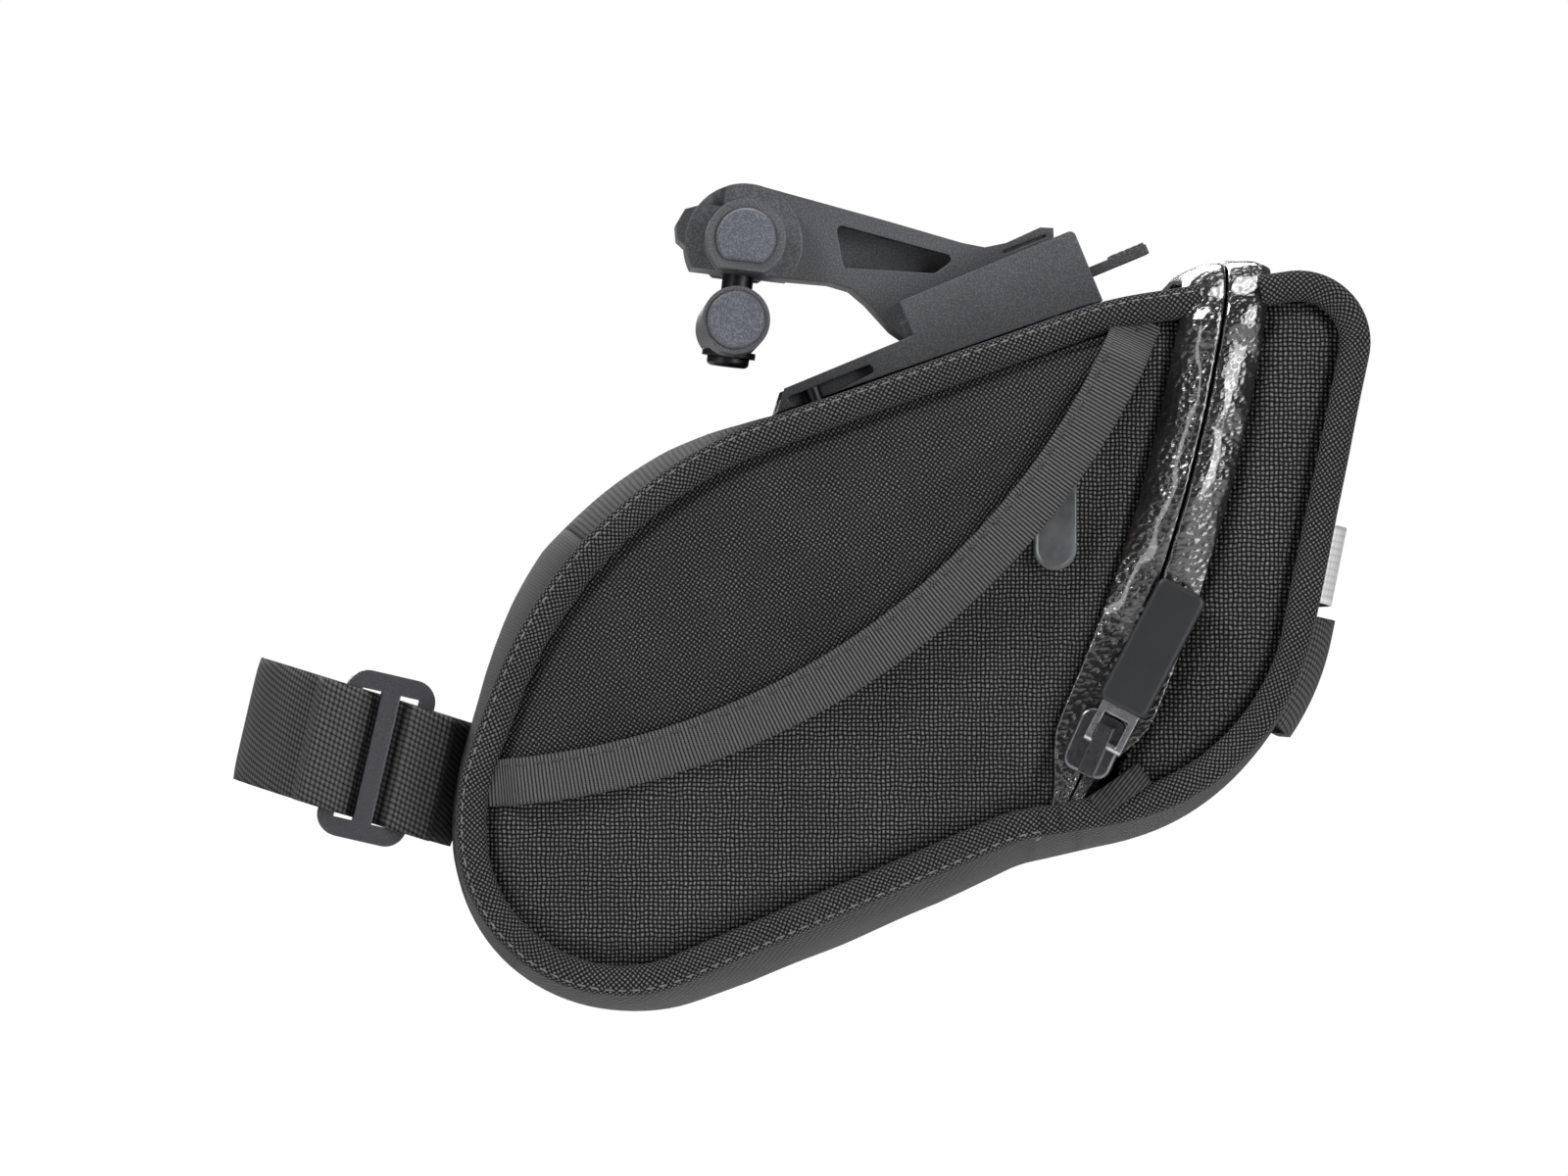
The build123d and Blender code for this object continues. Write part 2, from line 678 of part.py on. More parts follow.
def strap_pieces():
    """A webbing loop sewn to the nose, its ring, and the tail that folds back."""
    half_gap = degrees(asin(RING_W / 2 / (POST_R + STRAP_T)))
    outer = POST_R + STRAP_T
    strap = arc_band(
        POST_R,
        outer,
        RING_ANGLE + half_gap - 360 - 12,
        RING_ANGLE - half_gap + 12,
        STRAP_W,
    )
    loop = Box(RING_T, RING_W, RING_H)
    slot_w = (RING_W - RING_MIDDLE) / 2 - RING_SIDE
    for side in SIDES.values():
        y = side * (RING_MIDDLE + slot_w) / 2
        loop -= Pos(0, y, 0) * Box(RING_T + 1, slot_w, RING_H - 2 * RING_BAR)
    loop = fillet(loop.edges().filter_by(Axis.X).group_by(Axis.Z)[0], RING_ROUND)
    loop = fillet(loop.edges().filter_by(Axis.X).group_by(Axis.Z)[-1], RING_ROUND)
    ring = POST * (
        Rot(0, 0, RING_ANGLE) * Pos(outer + 0.1 + RING_T / 2, 0, 0) * loop
    )
    tail = arc_band(
        outer + CLEAR, outer + CLEAR + STRAP_T - 0.2, *TAIL_SPAN, STRAP_W
    )
    return {"post_strap": strap - ring, "strap_ring": ring, "strap_tail": tail}


# -------------------------------------------------------------- rear cap's trim
def height_band(z0, z1):
    return Pos(60, 0, (z0 + z1) / 2) * Box(160, FAR, z1 - z0)


def rear_half():
    return Pos(85 + FAR / 2 - 25, 0, 0) * Box(FAR, FAR, FAR)


def cap_trim():
    """The reflective strip and the webbing loop for a rear light."""
    strip = (
        (prism(GUSSET_OUT + 0.6) - prism(GUSSET_OUT))
        & within(PIPING_IN + 1.0)
        & height_band(*REFLECTOR_Z)
        & rear_half()
    )
    shell = prism(GUSSET_OUT + LOOP_GAP + LOOP_T) - prism(GUSSET_OUT)
    room = prism(GUSSET_OUT + LOOP_GAP) & (
        Box(2 * FAR, 2 * (LOOP_HALF - LOOP_SEWN), 2 * FAR)
    )
    ends = prism(GUSSET_OUT + LOOP_GAP + LOOP_T) - prism(GUSSET_OUT + LOOP_T)
    ends -= Box(2 * FAR, 2 * (LOOP_HALF - LOOP_SEWN + LOOP_T), 2 * FAR)
    loop = (shell - room - ends) & height_band(*LOOP_Z) & rear_half()
    loop &= Box(2 * FAR, 2 * LOOP_HALF, 2 * FAR)
    return {"reflective_strip": strip, "light_loop": loop}


# --------------------------------------------------------------- slider and pull
def slider_frame():
    """At the slider, on the left side plane: +X along the zip upwards, +Z outwards."""
    x = zip_x(SLIDER_Z)
    radial = Vector(x - ZIP_CENTRE[0], 0, SLIDER_Z - ZIP_CENTRE[1]).normalized()
    along = Vector(-radial.Z, -TAPER * -radial.Z, radial.X).normalized()
    outward = Vector(-TAPER, -1, 0).normalized()
    return Plane(
        origin=(x, -half_width(x), SLIDER_Z), x_dir=along, z_dir=outward
    )


def slider_pieces():
    plane = slider_frame()
    base = Pos(0, 0, CLEAR + SLIDER_T / 2) * Box(SLIDER_L, SLIDER_W, SLIDER_T)
    base = fillet(base.edges().filter_by(Axis.Z), 2.2)
    base = fillet(base.edges().group_by(Axis.Z)[-1], 0.7)
    top = CLEAR + SLIDER_T
    bail = Pos(BAIL_A, PULL_SHIFT / 2, top + BAIL[2] / 2 - 0.1) * Box(*BAIL)
    bail -= Pos(PIVOT_A, 0, PIVOT_H) * Rot(90, 0, 0) * Cylinder(BAIL_HOLE_R, 10)
    slider = plane * (base + bail)
    link = Rot(90, 0, 0) * Cylinder(PIN_R, LINK_W)
    for side in (-1, 1):
        y = side * (LINK_W - LINK_WIRE) / 2
        link += Pos(LINK_L / 2, y, 0) * Box(LINK_L, LINK_WIRE, LINK_T)
    link += Pos(LINK_L, 0, 0) * Box(LINK_END, LINK_W, LINK_T)
    grip = Pos(LINK_L + GRIP_L / 2, 0, 0) * Box(GRIP_L, GRIP_W, GRIP_T)
    grip = fillet(grip.edges().filter_by(Axis.Z), 1.2)
    grip = fillet(grip.edges().group_by(Axis.Z)[-1], 0.7)
    hang = plane * Pos(PIVOT_A, PULL_SHIFT, PIVOT_H) * Rot(0, 0, PULL_LEAN)
    link_solid = hang * link
    return {
        "zip_slider": slider,
        "pull_link": link_solid,
        "pull_grip": hang * grip - link_solid,
    }


# ------------------------------------------------------------------------ build
def build():
    front, not_cap, front_tape, rear_tape = zones()
    made = {}
    made.update(gusset_pieces(front, not_cap))
    made.update(side_pieces(front, not_cap))
    made.update(zip_pieces(front_tape, rear_tape))
    made.update(pocket_pieces())
    made.update(garage_tabs())
    bracket, plate, screws, holes = bracket_pieces()
    for hole in holes:
        bracket -= hole
        plate -= hole
        made["top_gusset"] -= hole
    made["bag_bracket"] = bracket
    made["backing_plate"] = plate
    made["bracket_screws"] = Compound(children=screws)
    made.update(fixer_pieces())
    made["release_tongue"] = release_tongue()
    made.update(strap_pieces())
    made.update(cap_trim())
    made.update(slider_pieces())
    return made


def main():
    os.makedirs("parts", exist_ok=True)
    for name, shape in build().items():
        export_step(shape, f"parts/{name}.step")


main()
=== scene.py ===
import math
import random

import bmesh
import bpy
import numpy as np
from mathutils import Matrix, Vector, noise


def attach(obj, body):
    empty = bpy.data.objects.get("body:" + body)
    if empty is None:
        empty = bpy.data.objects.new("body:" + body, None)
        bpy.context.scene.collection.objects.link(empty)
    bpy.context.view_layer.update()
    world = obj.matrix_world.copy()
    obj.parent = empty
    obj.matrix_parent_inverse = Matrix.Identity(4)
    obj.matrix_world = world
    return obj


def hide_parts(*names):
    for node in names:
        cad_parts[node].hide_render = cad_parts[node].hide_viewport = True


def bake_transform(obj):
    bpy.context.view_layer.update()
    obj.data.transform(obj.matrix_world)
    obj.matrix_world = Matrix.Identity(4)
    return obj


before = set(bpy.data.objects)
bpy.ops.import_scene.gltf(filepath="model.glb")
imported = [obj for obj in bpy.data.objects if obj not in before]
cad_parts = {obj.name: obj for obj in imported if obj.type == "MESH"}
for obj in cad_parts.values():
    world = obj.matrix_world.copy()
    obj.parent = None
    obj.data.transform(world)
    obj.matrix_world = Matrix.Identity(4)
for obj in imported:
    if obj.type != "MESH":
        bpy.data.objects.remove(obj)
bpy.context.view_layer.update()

MM = 0.001
TAU = 2 * math.pi
rng = random.Random(7)

# ---------------------------------------------------------------- shared sizes, mm
OUTLINE = [
    (-44.9, -80.5, 30.0), (-44.7, -127.0, 26.0), (43.5, -88.9, 25.0), (84.6, -81.7, 38.0),
    (101.6, 2.8, 11.0), (58.1, -3.8, 60.0), (-27.2, -33.6, 72.0),
]
ZIP_C, ZIP_R, TAPE = np.array([-187.5, 34.7]), 266.5, 7.0
ZIP_FOOT = -87.0
POCKET_C, POCKET_R, BINDING_W = np.array([-46.8, 37.9]), 122.0, 7.5
POST_C, POST_TILT, POST_R = np.array([-60.1, -75.7]), math.radians(13.0), 15.45
POCKET_TAB_C, POCKET_TAB_R, POCKET_TAB_OUT = np.array([49.3, -43.0]), 3.4, 3.2
END_TAB_C, END_TAB_TILT, END_TAB_HALF = np.array([59.6, -81.1]), math.radians(35), 4.8
PIPE_IN = -2.1  # the piping's middle, from the outline
UNDER_ZIP = 2.5  # the piping runs on this far under the zip's tapes
PANEL_IN = -4.0  # the side panels' edges, from the outline
RING_A, STRAP_W, LEAN = 277.0, 20.0, 4.4
SIDES = {"left": -1, "right": 1}


def half(x):
    """Half of the bag's width at x."""
    return 31.4 + 0.098 * np.asarray(x, float)


def smooth(v):
    """0 to 1 with a gentle start and end."""
    v = np.clip(v, 0, 1)
    return v * v * (3 - 2 * v)


# ---------------------------------------------------------------- the bag's side outline
def outline_path():
    """Points every millimetre round the outline, anticlockwise seen from the left."""
    pts, n = [], len(OUTLINE)
    for i in range(n):
        p0, p1, p2 = (np.array(OUTLINE[(i + k) % n][:2]) for k in (-1, 0, 1))
        r = OUTLINE[i][2]
        d1, d2 = (p1 - p0) / np.linalg.norm(p1 - p0), (p2 - p1) / np.linalg.norm(p2 - p1)
        turn = math.atan2(d1[0] * d2[1] - d1[1] * d2[0], d1 @ d2)
        start = p1 - d1 * r * math.tan(abs(turn) / 2)
        centre = start + math.copysign(1, turn) * r * np.array([-d1[1], d1[0]])
        count = max(3, int(abs(turn) * r))
        for k in range(count + 1):
            a = turn * k / count
            v = start - centre
            pts.append(centre + np.array([v[0] * math.cos(a) - v[1] * math.sin(a),
                                          v[0] * math.sin(a) + v[1] * math.cos(a)]))
    pts = np.array(pts + [pts[0]])
    s = np.concatenate([[0], np.cumsum(np.linalg.norm(np.diff(pts, axis=0), axis=1))])
    return pts, s


PATH, PATH_S = outline_path()
LENGTH = PATH_S[-1]


def at(s, grow=0.0):
    """The outline's (x, z) at arc length s, moved out by grow."""
    s = np.asarray(s, float)
    p = np.stack([np.interp(s % LENGTH, PATH_S, PATH[:, k]) for k in (0, 1)], -1)
    a, b = (np.stack([np.interp((s + e) % LENGTH, PATH_S, PATH[:, k]) for k in (0, 1)], -1)
            for e in (-1.5, 1.5))
    t = (b - a) / np.linalg.norm(b - a, axis=-1, keepdims=True)
    out = np.stack([t[..., 1], -t[..., 0]], -1)
    return p + out * np.asarray(grow)[..., None]


def near(x, z):
    """The arc length of the outline point nearest to (x, z)."""
    s = np.linspace(0, LENGTH, 2000)
    return s[np.argmin(np.linalg.norm(at(s) - np.array([x, z]), axis=1))]


def zip_cross(radius, top):
    """Where the outline crosses the zip's circle, at the top or underneath."""
    s = np.linspace(0, LENGTH, 4000)
    p = at(s)
    f = np.linalg.norm(p - ZIP_C, axis=1) - radius
    hits = [s[i] for i in range(len(s) - 1) if f[i] * f[i + 1] <= 0]
    return [h for h in hits if (at(h)[1] > -40) == top][0]


def along(s, keys):
    """A value that varies round the outline, from (x, z, value) keys."""
    found = sorted((near(x, z), v) for x, z, v in keys)
    ks = np.array([k for k, _ in found])
    vs = np.array([v for _, v in found])
    ks = np.concatenate([[ks[-1] - LENGTH], ks, [ks[0] + LENGTH]])
    vs = np.concatenate([[vs[-1]], vs, [vs[0]]])
    return np.interp(np.asarray(s) % LENGTH, ks, vs)


# ---------------------------------------------------------------- meshes
def finish_mesh(name, verts, faces, uvs, material, body, thickness=0.0, hint=None):
    """A mesh in metres from millimetre points, with UVs in millimetres, riding on a body."""
    mesh = bpy.data.meshes.new(name)
    mesh.from_pydata([tuple(float(c) * MM for c in v) for v in verts], [], faces)
    obj = bpy.data.objects.new(name, mesh)
    bpy.context.scene.collection.objects.link(obj)
    layer = mesh.uv_layers.new(name="UVMap")
    for poly in mesh.polygons:
        for li in poly.loop_indices:
            layer.data[li].uv = uvs[mesh.loops[li].vertex_index]
    mesh.materials.append(material)
    bm = bmesh.new()
    bm.from_mesh(mesh)
    if hint is None:
        bmesh.ops.recalc_face_normals(bm, faces=bm.faces)
    else:
        away = sum(f.normal.dot(Vector(hint(f.calc_center_median() / MM))) * f.calc_area() for f in bm.faces)
        if away < 0:
            bmesh.ops.reverse_faces(bm, faces=bm.faces)
    bm.to_mesh(mesh)
    bm.free()
    for p in mesh.polygons:
        p.use_smooth = True
    if thickness:
        solid = obj.modifiers.new("thickness", "SOLIDIFY")
        solid.thickness = thickness * MM
        solid.offset = -1
    if body:
        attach(obj, body)
    return obj


def grid(name, pts, uv, material, body, thickness=0.0, hint=None, loop_u=False, loop_v=False, caps=False):
    """A quad grid from pts[n, m, 3]; loops close it in either direction."""
    n, m = pts.shape[:2]
    faces = []
    for i in range(n if loop_u else n - 1):
        for j in range(m if loop_v else m - 1):
            i2, j2 = (i + 1) % n, (j + 1) % m
            faces.append((i * m + j, i2 * m + j, i2 * m + j2, i * m + j2))
    if caps:
        faces.append(tuple(range(m)))
        faces.append(tuple(reversed(range((n - 1) * m, n * m))))
    return finish_mesh(name, pts.reshape(-1, 3), faces, uv.reshape(-1, 2), material, body, thickness, hint)


def side_hint(side):
    return lambda c: (0, side, 0)


def wobble(p, scale, seed=0.0):
    """Smooth noise from -1 to 1 at points p[..., 3]."""
    flat = p.reshape(-1, 3)
    out = [noise.noise(Vector((q[0] / scale + seed, q[1] / scale, q[2] / scale))) for q in flat]
    return np.array(out).reshape(p.shape[:-1])


# ---------------------------------------------------------------- materials
class Nodes:
    """Short calls for building a material's nodes."""

    def __init__(self, name):
        self.mat = bpy.data.materials.new(name)
        self.mat.use_nodes = True
        self.tree = self.mat.node_tree
        self.shader = self.tree.nodes["Principled BSDF"]

    def new(self, kind, **values):
        node = self.tree.nodes.new(kind)
        for key, value in values.items():
            setattr(node, key, value)
        return node

    def put(self, value, socket):
        if isinstance(value, bpy.types.NodeSocket):
            self.tree.links.new(value, socket)
        else:
            socket.default_value = value

    def math(self, op, a, b=0.0, c=0.0):
        node = self.new("ShaderNodeMath", operation=op)
        for value, socket in zip((a, b, c), node.inputs):
            self.put(value, socket)
        return node.outputs[0]

    def noise(self, vector, scale, detail=3.0, rough=0.5):
        node = self.new("ShaderNodeTexNoise")
        self.put(vector, node.inputs["Vector"])
        node.inputs["Scale"].default_value = scale
        node.inputs["Detail"].default_value = detail
        node.inputs["Roughness"].default_value = rough
        return node.outputs["Fac"]

    def ramp(self, fac, stops):
        node = self.new("ShaderNodeValToRGB")
        self.put(fac, node.inputs["Fac"])
        elements = node.color_ramp.elements
        while len(elements) < len(stops):
            elements.new(0.5)
        for element, (pos, value) in zip(elements, stops):
            element.position = pos
            element.color = (*value, 1) if isinstance(value, tuple) else (value, value, value, 1)
        return node.outputs["Color"]

    def mix(self, fac, a, b):
        return self.math("ADD", self.math("MULTIPLY", a, self.math("SUBTRACT", 1.0, fac)),
                         self.math("MULTIPLY", b, fac))

    def bump(self, height, distance, strength=1.0, normal=None):
        node = self.new("ShaderNodeBump")
        node.inputs["Strength"].default_value = strength
        node.inputs["Distance"].default_value = distance
        self.put(height, node.inputs["Height"])
        if normal is not None:
            self.put(normal, node.inputs["Normal"])
        return node.outputs["Normal"]

    def uv(self):
        """The UV as two sockets, in millimetres, and as a vector."""
        node = self.new("ShaderNodeUVMap", uv_map="UVMap")
        split = self.new("ShaderNodeSeparateXYZ")
        self.put(node.outputs["UV"], split.inputs[0])
        return split.outputs[0], split.outputs[1], node.outputs["UV"]

    def place(self):
        return self.new("ShaderNodeTexCoord").outputs["Object"]

    def set(self, **values):
        for key, value in values.items():
            self.put(value, self.shader.inputs[key.replace("_", " ")])
        return self.mat


def bulge(n, coord, pitch, power):
    """A rounded ridge that repeats every pitch."""
    wave = n.math("ABSOLUTE", n.math("SINE", n.math("MULTIPLY", coord, math.pi / pitch)))
    return n.math("POWER", wave, power)


def weave(name, pitch, dark, light, depth, turn=0.0, sheen=0.25, rough=0.75, over=1.0):
    """Woven cloth: warp and weft threads that take turns on top, with gaps between; the colour has painted
    shade in the gaps and a painted highlight on the thread tops.
    """
    n = Nodes(name)
    u, v, vec = n.uv()
    warp_noise = n.noise(vec, 0.35, 2.0)
    u = n.math("ADD", u, n.math("MULTIPLY", warp_noise, 0.8))
    v = n.math("ADD", v, n.math("MULTIPLY", n.noise(vec, 0.31, 2.0), 0.8))
    if turn:
        c, s = math.cos(turn), math.sin(turn)
        u, v = (n.math("ADD", n.math("MULTIPLY", u, c), n.math("MULTIPLY", v, -s)),
                n.math("ADD", n.math("MULTIPLY", u, s), n.math("MULTIPLY", v, c)))
    cells = n.math("ADD", *(n.math("FLOOR", n.math("DIVIDE", axis, pitch)) for axis in (u, v)))
    odd = n.math("ABSOLUTE", n.math("MODULO", cells, 2.0))
    warp = n.math("MULTIPLY", bulge(n, u, pitch, 1.4), bulge(n, v, pitch, 0.8))
    fill = n.math("MULTIPLY", bulge(n, v, pitch, 1.4), bulge(n, u, pitch, 0.8))
    height = n.mix(odd, warp, n.math("MULTIPLY", fill, over))
    strands = bulge(n, n.mix(odd, u, v), pitch / 4, 0.6)
    fine = n.math("MULTIPLY", n.math("MULTIPLY", strands, height), 0.15)
    height = n.math("ADD", n.math("MULTIPLY", height, 0.85), fine)
    fuzz = n.noise(vec, 3.0, 4.0, 0.7)
    patches = n.noise(vec, 0.06, 2.0)
    shade = n.math("ADD", 0.62, n.math("MULTIPLY", patches, 0.4))
    # Painted shade and highlight: the colour darkens with thread height towards the gaps and is lightest on
    # the thread tops, times random tone patches and fuzz.
    level = n.math("MULTIPLY", n.math("POWER", height, 1.5), shade)
    level = n.math("MULTIPLY", level, n.math("ADD", 0.7, n.math("MULTIPLY", fuzz, 0.6)))
    colour = n.ramp(level, [(0.0, dark), (1.0, light)])
    n.set(Base_Color=colour, Roughness=n.math("ADD", rough - 0.1, n.math("MULTIPLY", fuzz, 0.25)),
          Normal=n.bump(height, depth * MM), Sheen_Weight=sheen, Sheen_Roughness=0.4,
          Specular_IOR_Level=0.08)
    return n.mat


def ribbed(name, pitch, dark, light, depth, across=0.35, sheen=0.2, rough=0.7, weights=(1.0, 0.25)):
    """Grosgrain or webbing: ribs that run across the tape, threads along it; the colour has painted shade
    between the ribs and threads and a painted highlight on their tops.
    """
    n = Nodes(name)
    u, v, vec = n.uv()
    u = n.math("ADD", u, n.math("MULTIPLY", n.noise(vec, 0.4, 2.0), 0.15))
    rib = bulge(n, u, pitch, 0.7)
    thread = bulge(n, n.math("ADD", v, n.math("MULTIPLY", u, 0.3)), across, 0.7)
    height = n.math("ADD", n.math("MULTIPLY", rib, weights[0]), n.math("MULTIPLY", thread, weights[1]))
    fuzz = n.noise(vec, 2.5, 4.0, 0.7)
    shade = n.math("ADD", 0.3, n.math("MULTIPLY", fuzz, 0.8))
    # Painted shade and highlight: the colour darkens with rib and thread height towards the valleys and is
    # lightest on the tops, times random fuzz tone.
    level = n.math("MULTIPLY", n.math("POWER", height, 2.2), shade)
    colour = n.ramp(level, [(0.0, dark), (1.0, light)])
    n.set(Base_Color=colour, Roughness=n.math("ADD", rough - 0.1, n.math("MULTIPLY", fuzz, 0.2)),
          Normal=n.bump(height, depth * MM), Sheen_Weight=sheen, Sheen_Roughness=0.4,
          Specular_IOR_Level=0.08)
    return n.mat


def moulded(name, base, rough=0.5, speck=0.25, grain=0.05, bevel=0.35, coat=0.0, spec=0.5):
    """Fine-grained moulded plastic with a faint sparkle and softened edges."""
    n = Nodes(name)
    p = n.place()
    fine = n.noise(p, 4200.0, 2.0, 0.6)
    broad = n.noise(p, 90.0, 3.0, 0.5)
    flake = n.ramp(n.noise(p, 3800.0, 1.0), [(0.42, 0.0), (0.7, 1.0)])
    tone = n.math("MULTIPLY", n.math("ADD", 0.82, n.math("MULTIPLY", broad, 0.36)),
                  n.math("ADD", 1.0, n.math("MULTIPLY", flake, speck * 4)))
    mixer = n.new("ShaderNodeMix", data_type="RGBA", blend_type="MULTIPLY")
    mixer.inputs["Factor"].default_value = 1.0
    mixer.inputs[6].default_value = (*base, 1)
    n.put(tone, mixer.inputs[7])
    soft = n.new("ShaderNodeBevel", samples=6)
    soft.inputs["Radius"].default_value = bevel * MM
    n.set(Base_Color=mixer.outputs[2],
          Roughness=n.math("ADD", rough - 0.12, n.math("MULTIPLY", fine, 0.24)),
          Normal=n.bump(fine, grain * MM, 0.6, soft.outputs[0]),
          Coat_Weight=coat, Coat_Roughness=0.12, Specular_IOR_Level=spec)
    return n.mat


def metal(name, base, rough):
    """Cast or plated metal with slightly worn, softened edges."""
    n = Nodes(name)
    p = n.place()
    fine = n.noise(p, 1500.0, 4.0, 0.6)
    wear = n.noise(p, 300.0, 3.0, 0.6)
    colour = n.ramp(wear, [(0.3, tuple(c * 0.75 for c in base)), (0.7, base)])
    soft = n.new("ShaderNodeBevel", samples=6)
    soft.inputs["Radius"].default_value = 0.25 * MM
    n.set(Base_Color=colour, Metallic=1.0, Roughness=n.math("ADD", rough, n.math("MULTIPLY", fine, 0.18)),
          Normal=n.bump(fine, 0.01 * MM, 0.5, soft.outputs[0]))
    return n.mat


def film(name):
    """Glossy coated zip tape with fine leathery wrinkles."""
    n = Nodes(name)
    u, v, vec = n.uv()
    cells = n.new("ShaderNodeTexVoronoi", feature="SMOOTH_F1")
    n.put(vec, cells.inputs["Vector"])
    cells.inputs["Scale"].default_value = 1.15
    cells.inputs["Randomness"].default_value = 1.0
    cells.inputs["Smoothness"].default_value = 0.6
    stretch = n.new("ShaderNodeMapping")
    stretch.inputs["Scale"].default_value = (1.6, 0.55, 1.0)
    n.put(vec, stretch.inputs["Vector"])
    creases = n.noise(stretch.outputs[0], 0.9, 2.0, 0.5)
    broad = n.noise(vec, 0.16, 2.0)
    height = n.math("ADD", cells.outputs["Distance"], n.math("MULTIPLY", creases, 0.5))
    n.set(Base_Color=n.ramp(broad, [(0.3, 0.006), (0.7, 0.012)]),
          Roughness=n.math("ADD", 0.13, n.math("MULTIPLY", creases, 0.14)),
          Normal=n.bump(height, 0.3 * MM, 0.9), Coat_Weight=1.0, Coat_Roughness=0.08,
          Specular_IOR_Level=0.8)
    return n.mat


def coated(name):
    """Coated cloth of the underside: small raised dots in rows, with painted shade between the dots and a
    painted highlight on their tops in the colour.
    """
    n = Nodes(name)
    u, v, vec = n.uv()
    dots = n.math("MULTIPLY", bulge(n, n.math("ADD", u, n.math("MULTIPLY", v, 0.5)), 1.3, 0.8),
                  bulge(n, v, 1.3, 0.8))
    fuzz = n.noise(vec, 2.0, 4.0, 0.6)
    broad = n.noise(vec, 0.08, 2.0)
    # Painted shade: the colour is darkest between the raised dots and lightest on their tops, times broad
    # random tone.
    level = n.math("MULTIPLY", n.math("ADD", n.math("MULTIPLY", dots, 0.75), 0.1),
                   n.math("ADD", 0.6, n.math("MULTIPLY", broad, 0.7)))
    n.set(Base_Color=n.ramp(level, [(0.0, 0.002), (1.0, 0.03)]),
          Roughness=n.math("ADD", 0.5, n.math("MULTIPLY", fuzz, 0.2)),
          Normal=n.bump(n.math("ADD", dots, n.math("MULTIPLY", fuzz, 0.25)), 0.2 * MM),
          Sheen_Weight=0.03, Specular_IOR_Level=0.12)
    return n.mat


def make_materials():
    m = {}
    # In the weave and ribbed materials the dark colour is painted shade in the gaps and the light colour is a
    # painted highlight on the raised tops.
    m["side"] = weave("side_weave", 0.68, 0.0005, 0.25, 0.42, sheen=0.02, over=0.75)
    m["cap"] = weave("cap_weave", 0.72, 0.0005, 0.26, 0.42, sheen=0.02, over=0.7)
    m["pocket"] = weave("pocket_weave", 0.58, 0.0005, 0.19, 0.34, turn=0.6, sheen=0.02, over=0.75)
    m["piping"] = weave("piping_weave", 0.62, 0.0005, 0.2, 0.34, turn=0.785, sheen=0.02)
    m["binding"] = ribbed("binding_ribs", 0.6, 0.0005, 0.11, 0.26, sheen=0.02)
    m["tab_tape"] = ribbed("tab_ribs", 1.4, 0.002, 0.07, 0.16, across=0.62,
                           weights=(0.15, 0.95), sheen=0.06)
    m["gusset"] = ribbed("gusset_ribs", 0.9, 0.001, 0.045, 0.18, across=0.5,
                         weights=(0.75, 0.35), sheen=0.02)
    m["nose"] = ribbed("nose_ribs", 0.5, 0.002, 0.03, 0.08, across=0.5, weights=(0.5, 0.5), sheen=0.08)
    m["belly"] = coated("belly_coat")
    m["webbing"] = ribbed("webbing_ribs", 0.5, 0.0005, 0.085, 0.16, across=0.9,
                          weights=(0.6, 0.6), sheen=0.02)
    m["film"] = film("zip_film")
    m["moulding"] = moulded("moulding", (0.046, 0.047, 0.051), 0.46, 0.3, grain=0.05)
    m["plug"] = moulded("cap_plug", (0.05, 0.054, 0.064), 0.5, 0.3)
    m["ring"] = moulded("ring_plastic", (0.035, 0.035, 0.04), 0.24, 0.05, coat=0.3)
    m["grip"] = moulded("grip_rubber", (0.016, 0.017, 0.019), 0.42, 0.0, bevel=0.6, spec=0.35)
    m["gun"] = metal("gunmetal", (0.17, 0.17, 0.18), 0.2)
    m["bright"] = metal("bright_steel", (0.5, 0.5, 0.52), 0.2)
    m["dark"] = metal("dark_steel", (0.05, 0.05, 0.055), 0.35)
    m["coil"] = moulded("zip_coil", (0.012, 0.012, 0.013), 0.35, 0.0)
    thread = Nodes("thread")
    fibre = thread.noise(thread.place(), 3000.0, 3.0)
    m["thread"] = thread.set(Base_Color=thread.ramp(fibre, [(0.3, 0.035), (0.7, 0.15)]), Roughness=0.5,
                             Normal=thread.bump(fibre, 0.08 * MM), Sheen_Weight=0.2)
    dull = Nodes("dull_thread")
    fibre = dull.noise(dull.place(), 3000.0, 3.0)
    m["dull_thread"] = dull.set(Base_Color=dull.ramp(fibre, [(0.3, 0.006), (0.7, 0.04)]), Roughness=0.6,
                                Normal=dull.bump(fibre, 0.08 * MM), Sheen_Weight=0.02)
    tab = Nodes("tab_rubber")
    clouds = tab.noise(tab.place(), 400.0, 3.0)
    tones = tab.ramp(clouds, [(0.3, (0.05, 0.052, 0.055)), (0.7, (0.09, 0.092, 0.096))])
    m["tab"] = tab.set(Base_Color=tones,
                       Roughness=0.32, Subsurface_Weight=0.2, Normal=tab.bump(clouds, 0.05 * MM))
    tape = Nodes("reflective")
    u, v, vec = tape.uv()
    cells = tape.math("MULTIPLY", bulge(tape, u, 1.1, 0.5), bulge(tape, v, 1.1, 0.5))
    m["reflective"] = tape.set(Base_Color=tape.ramp(cells, [(0.0, 0.42), (1.0, 0.68)]), Roughness=0.35,
                               Metallic=0.25, Normal=tape.bump(cells, 0.05 * MM))
    return m


M = make_materials()

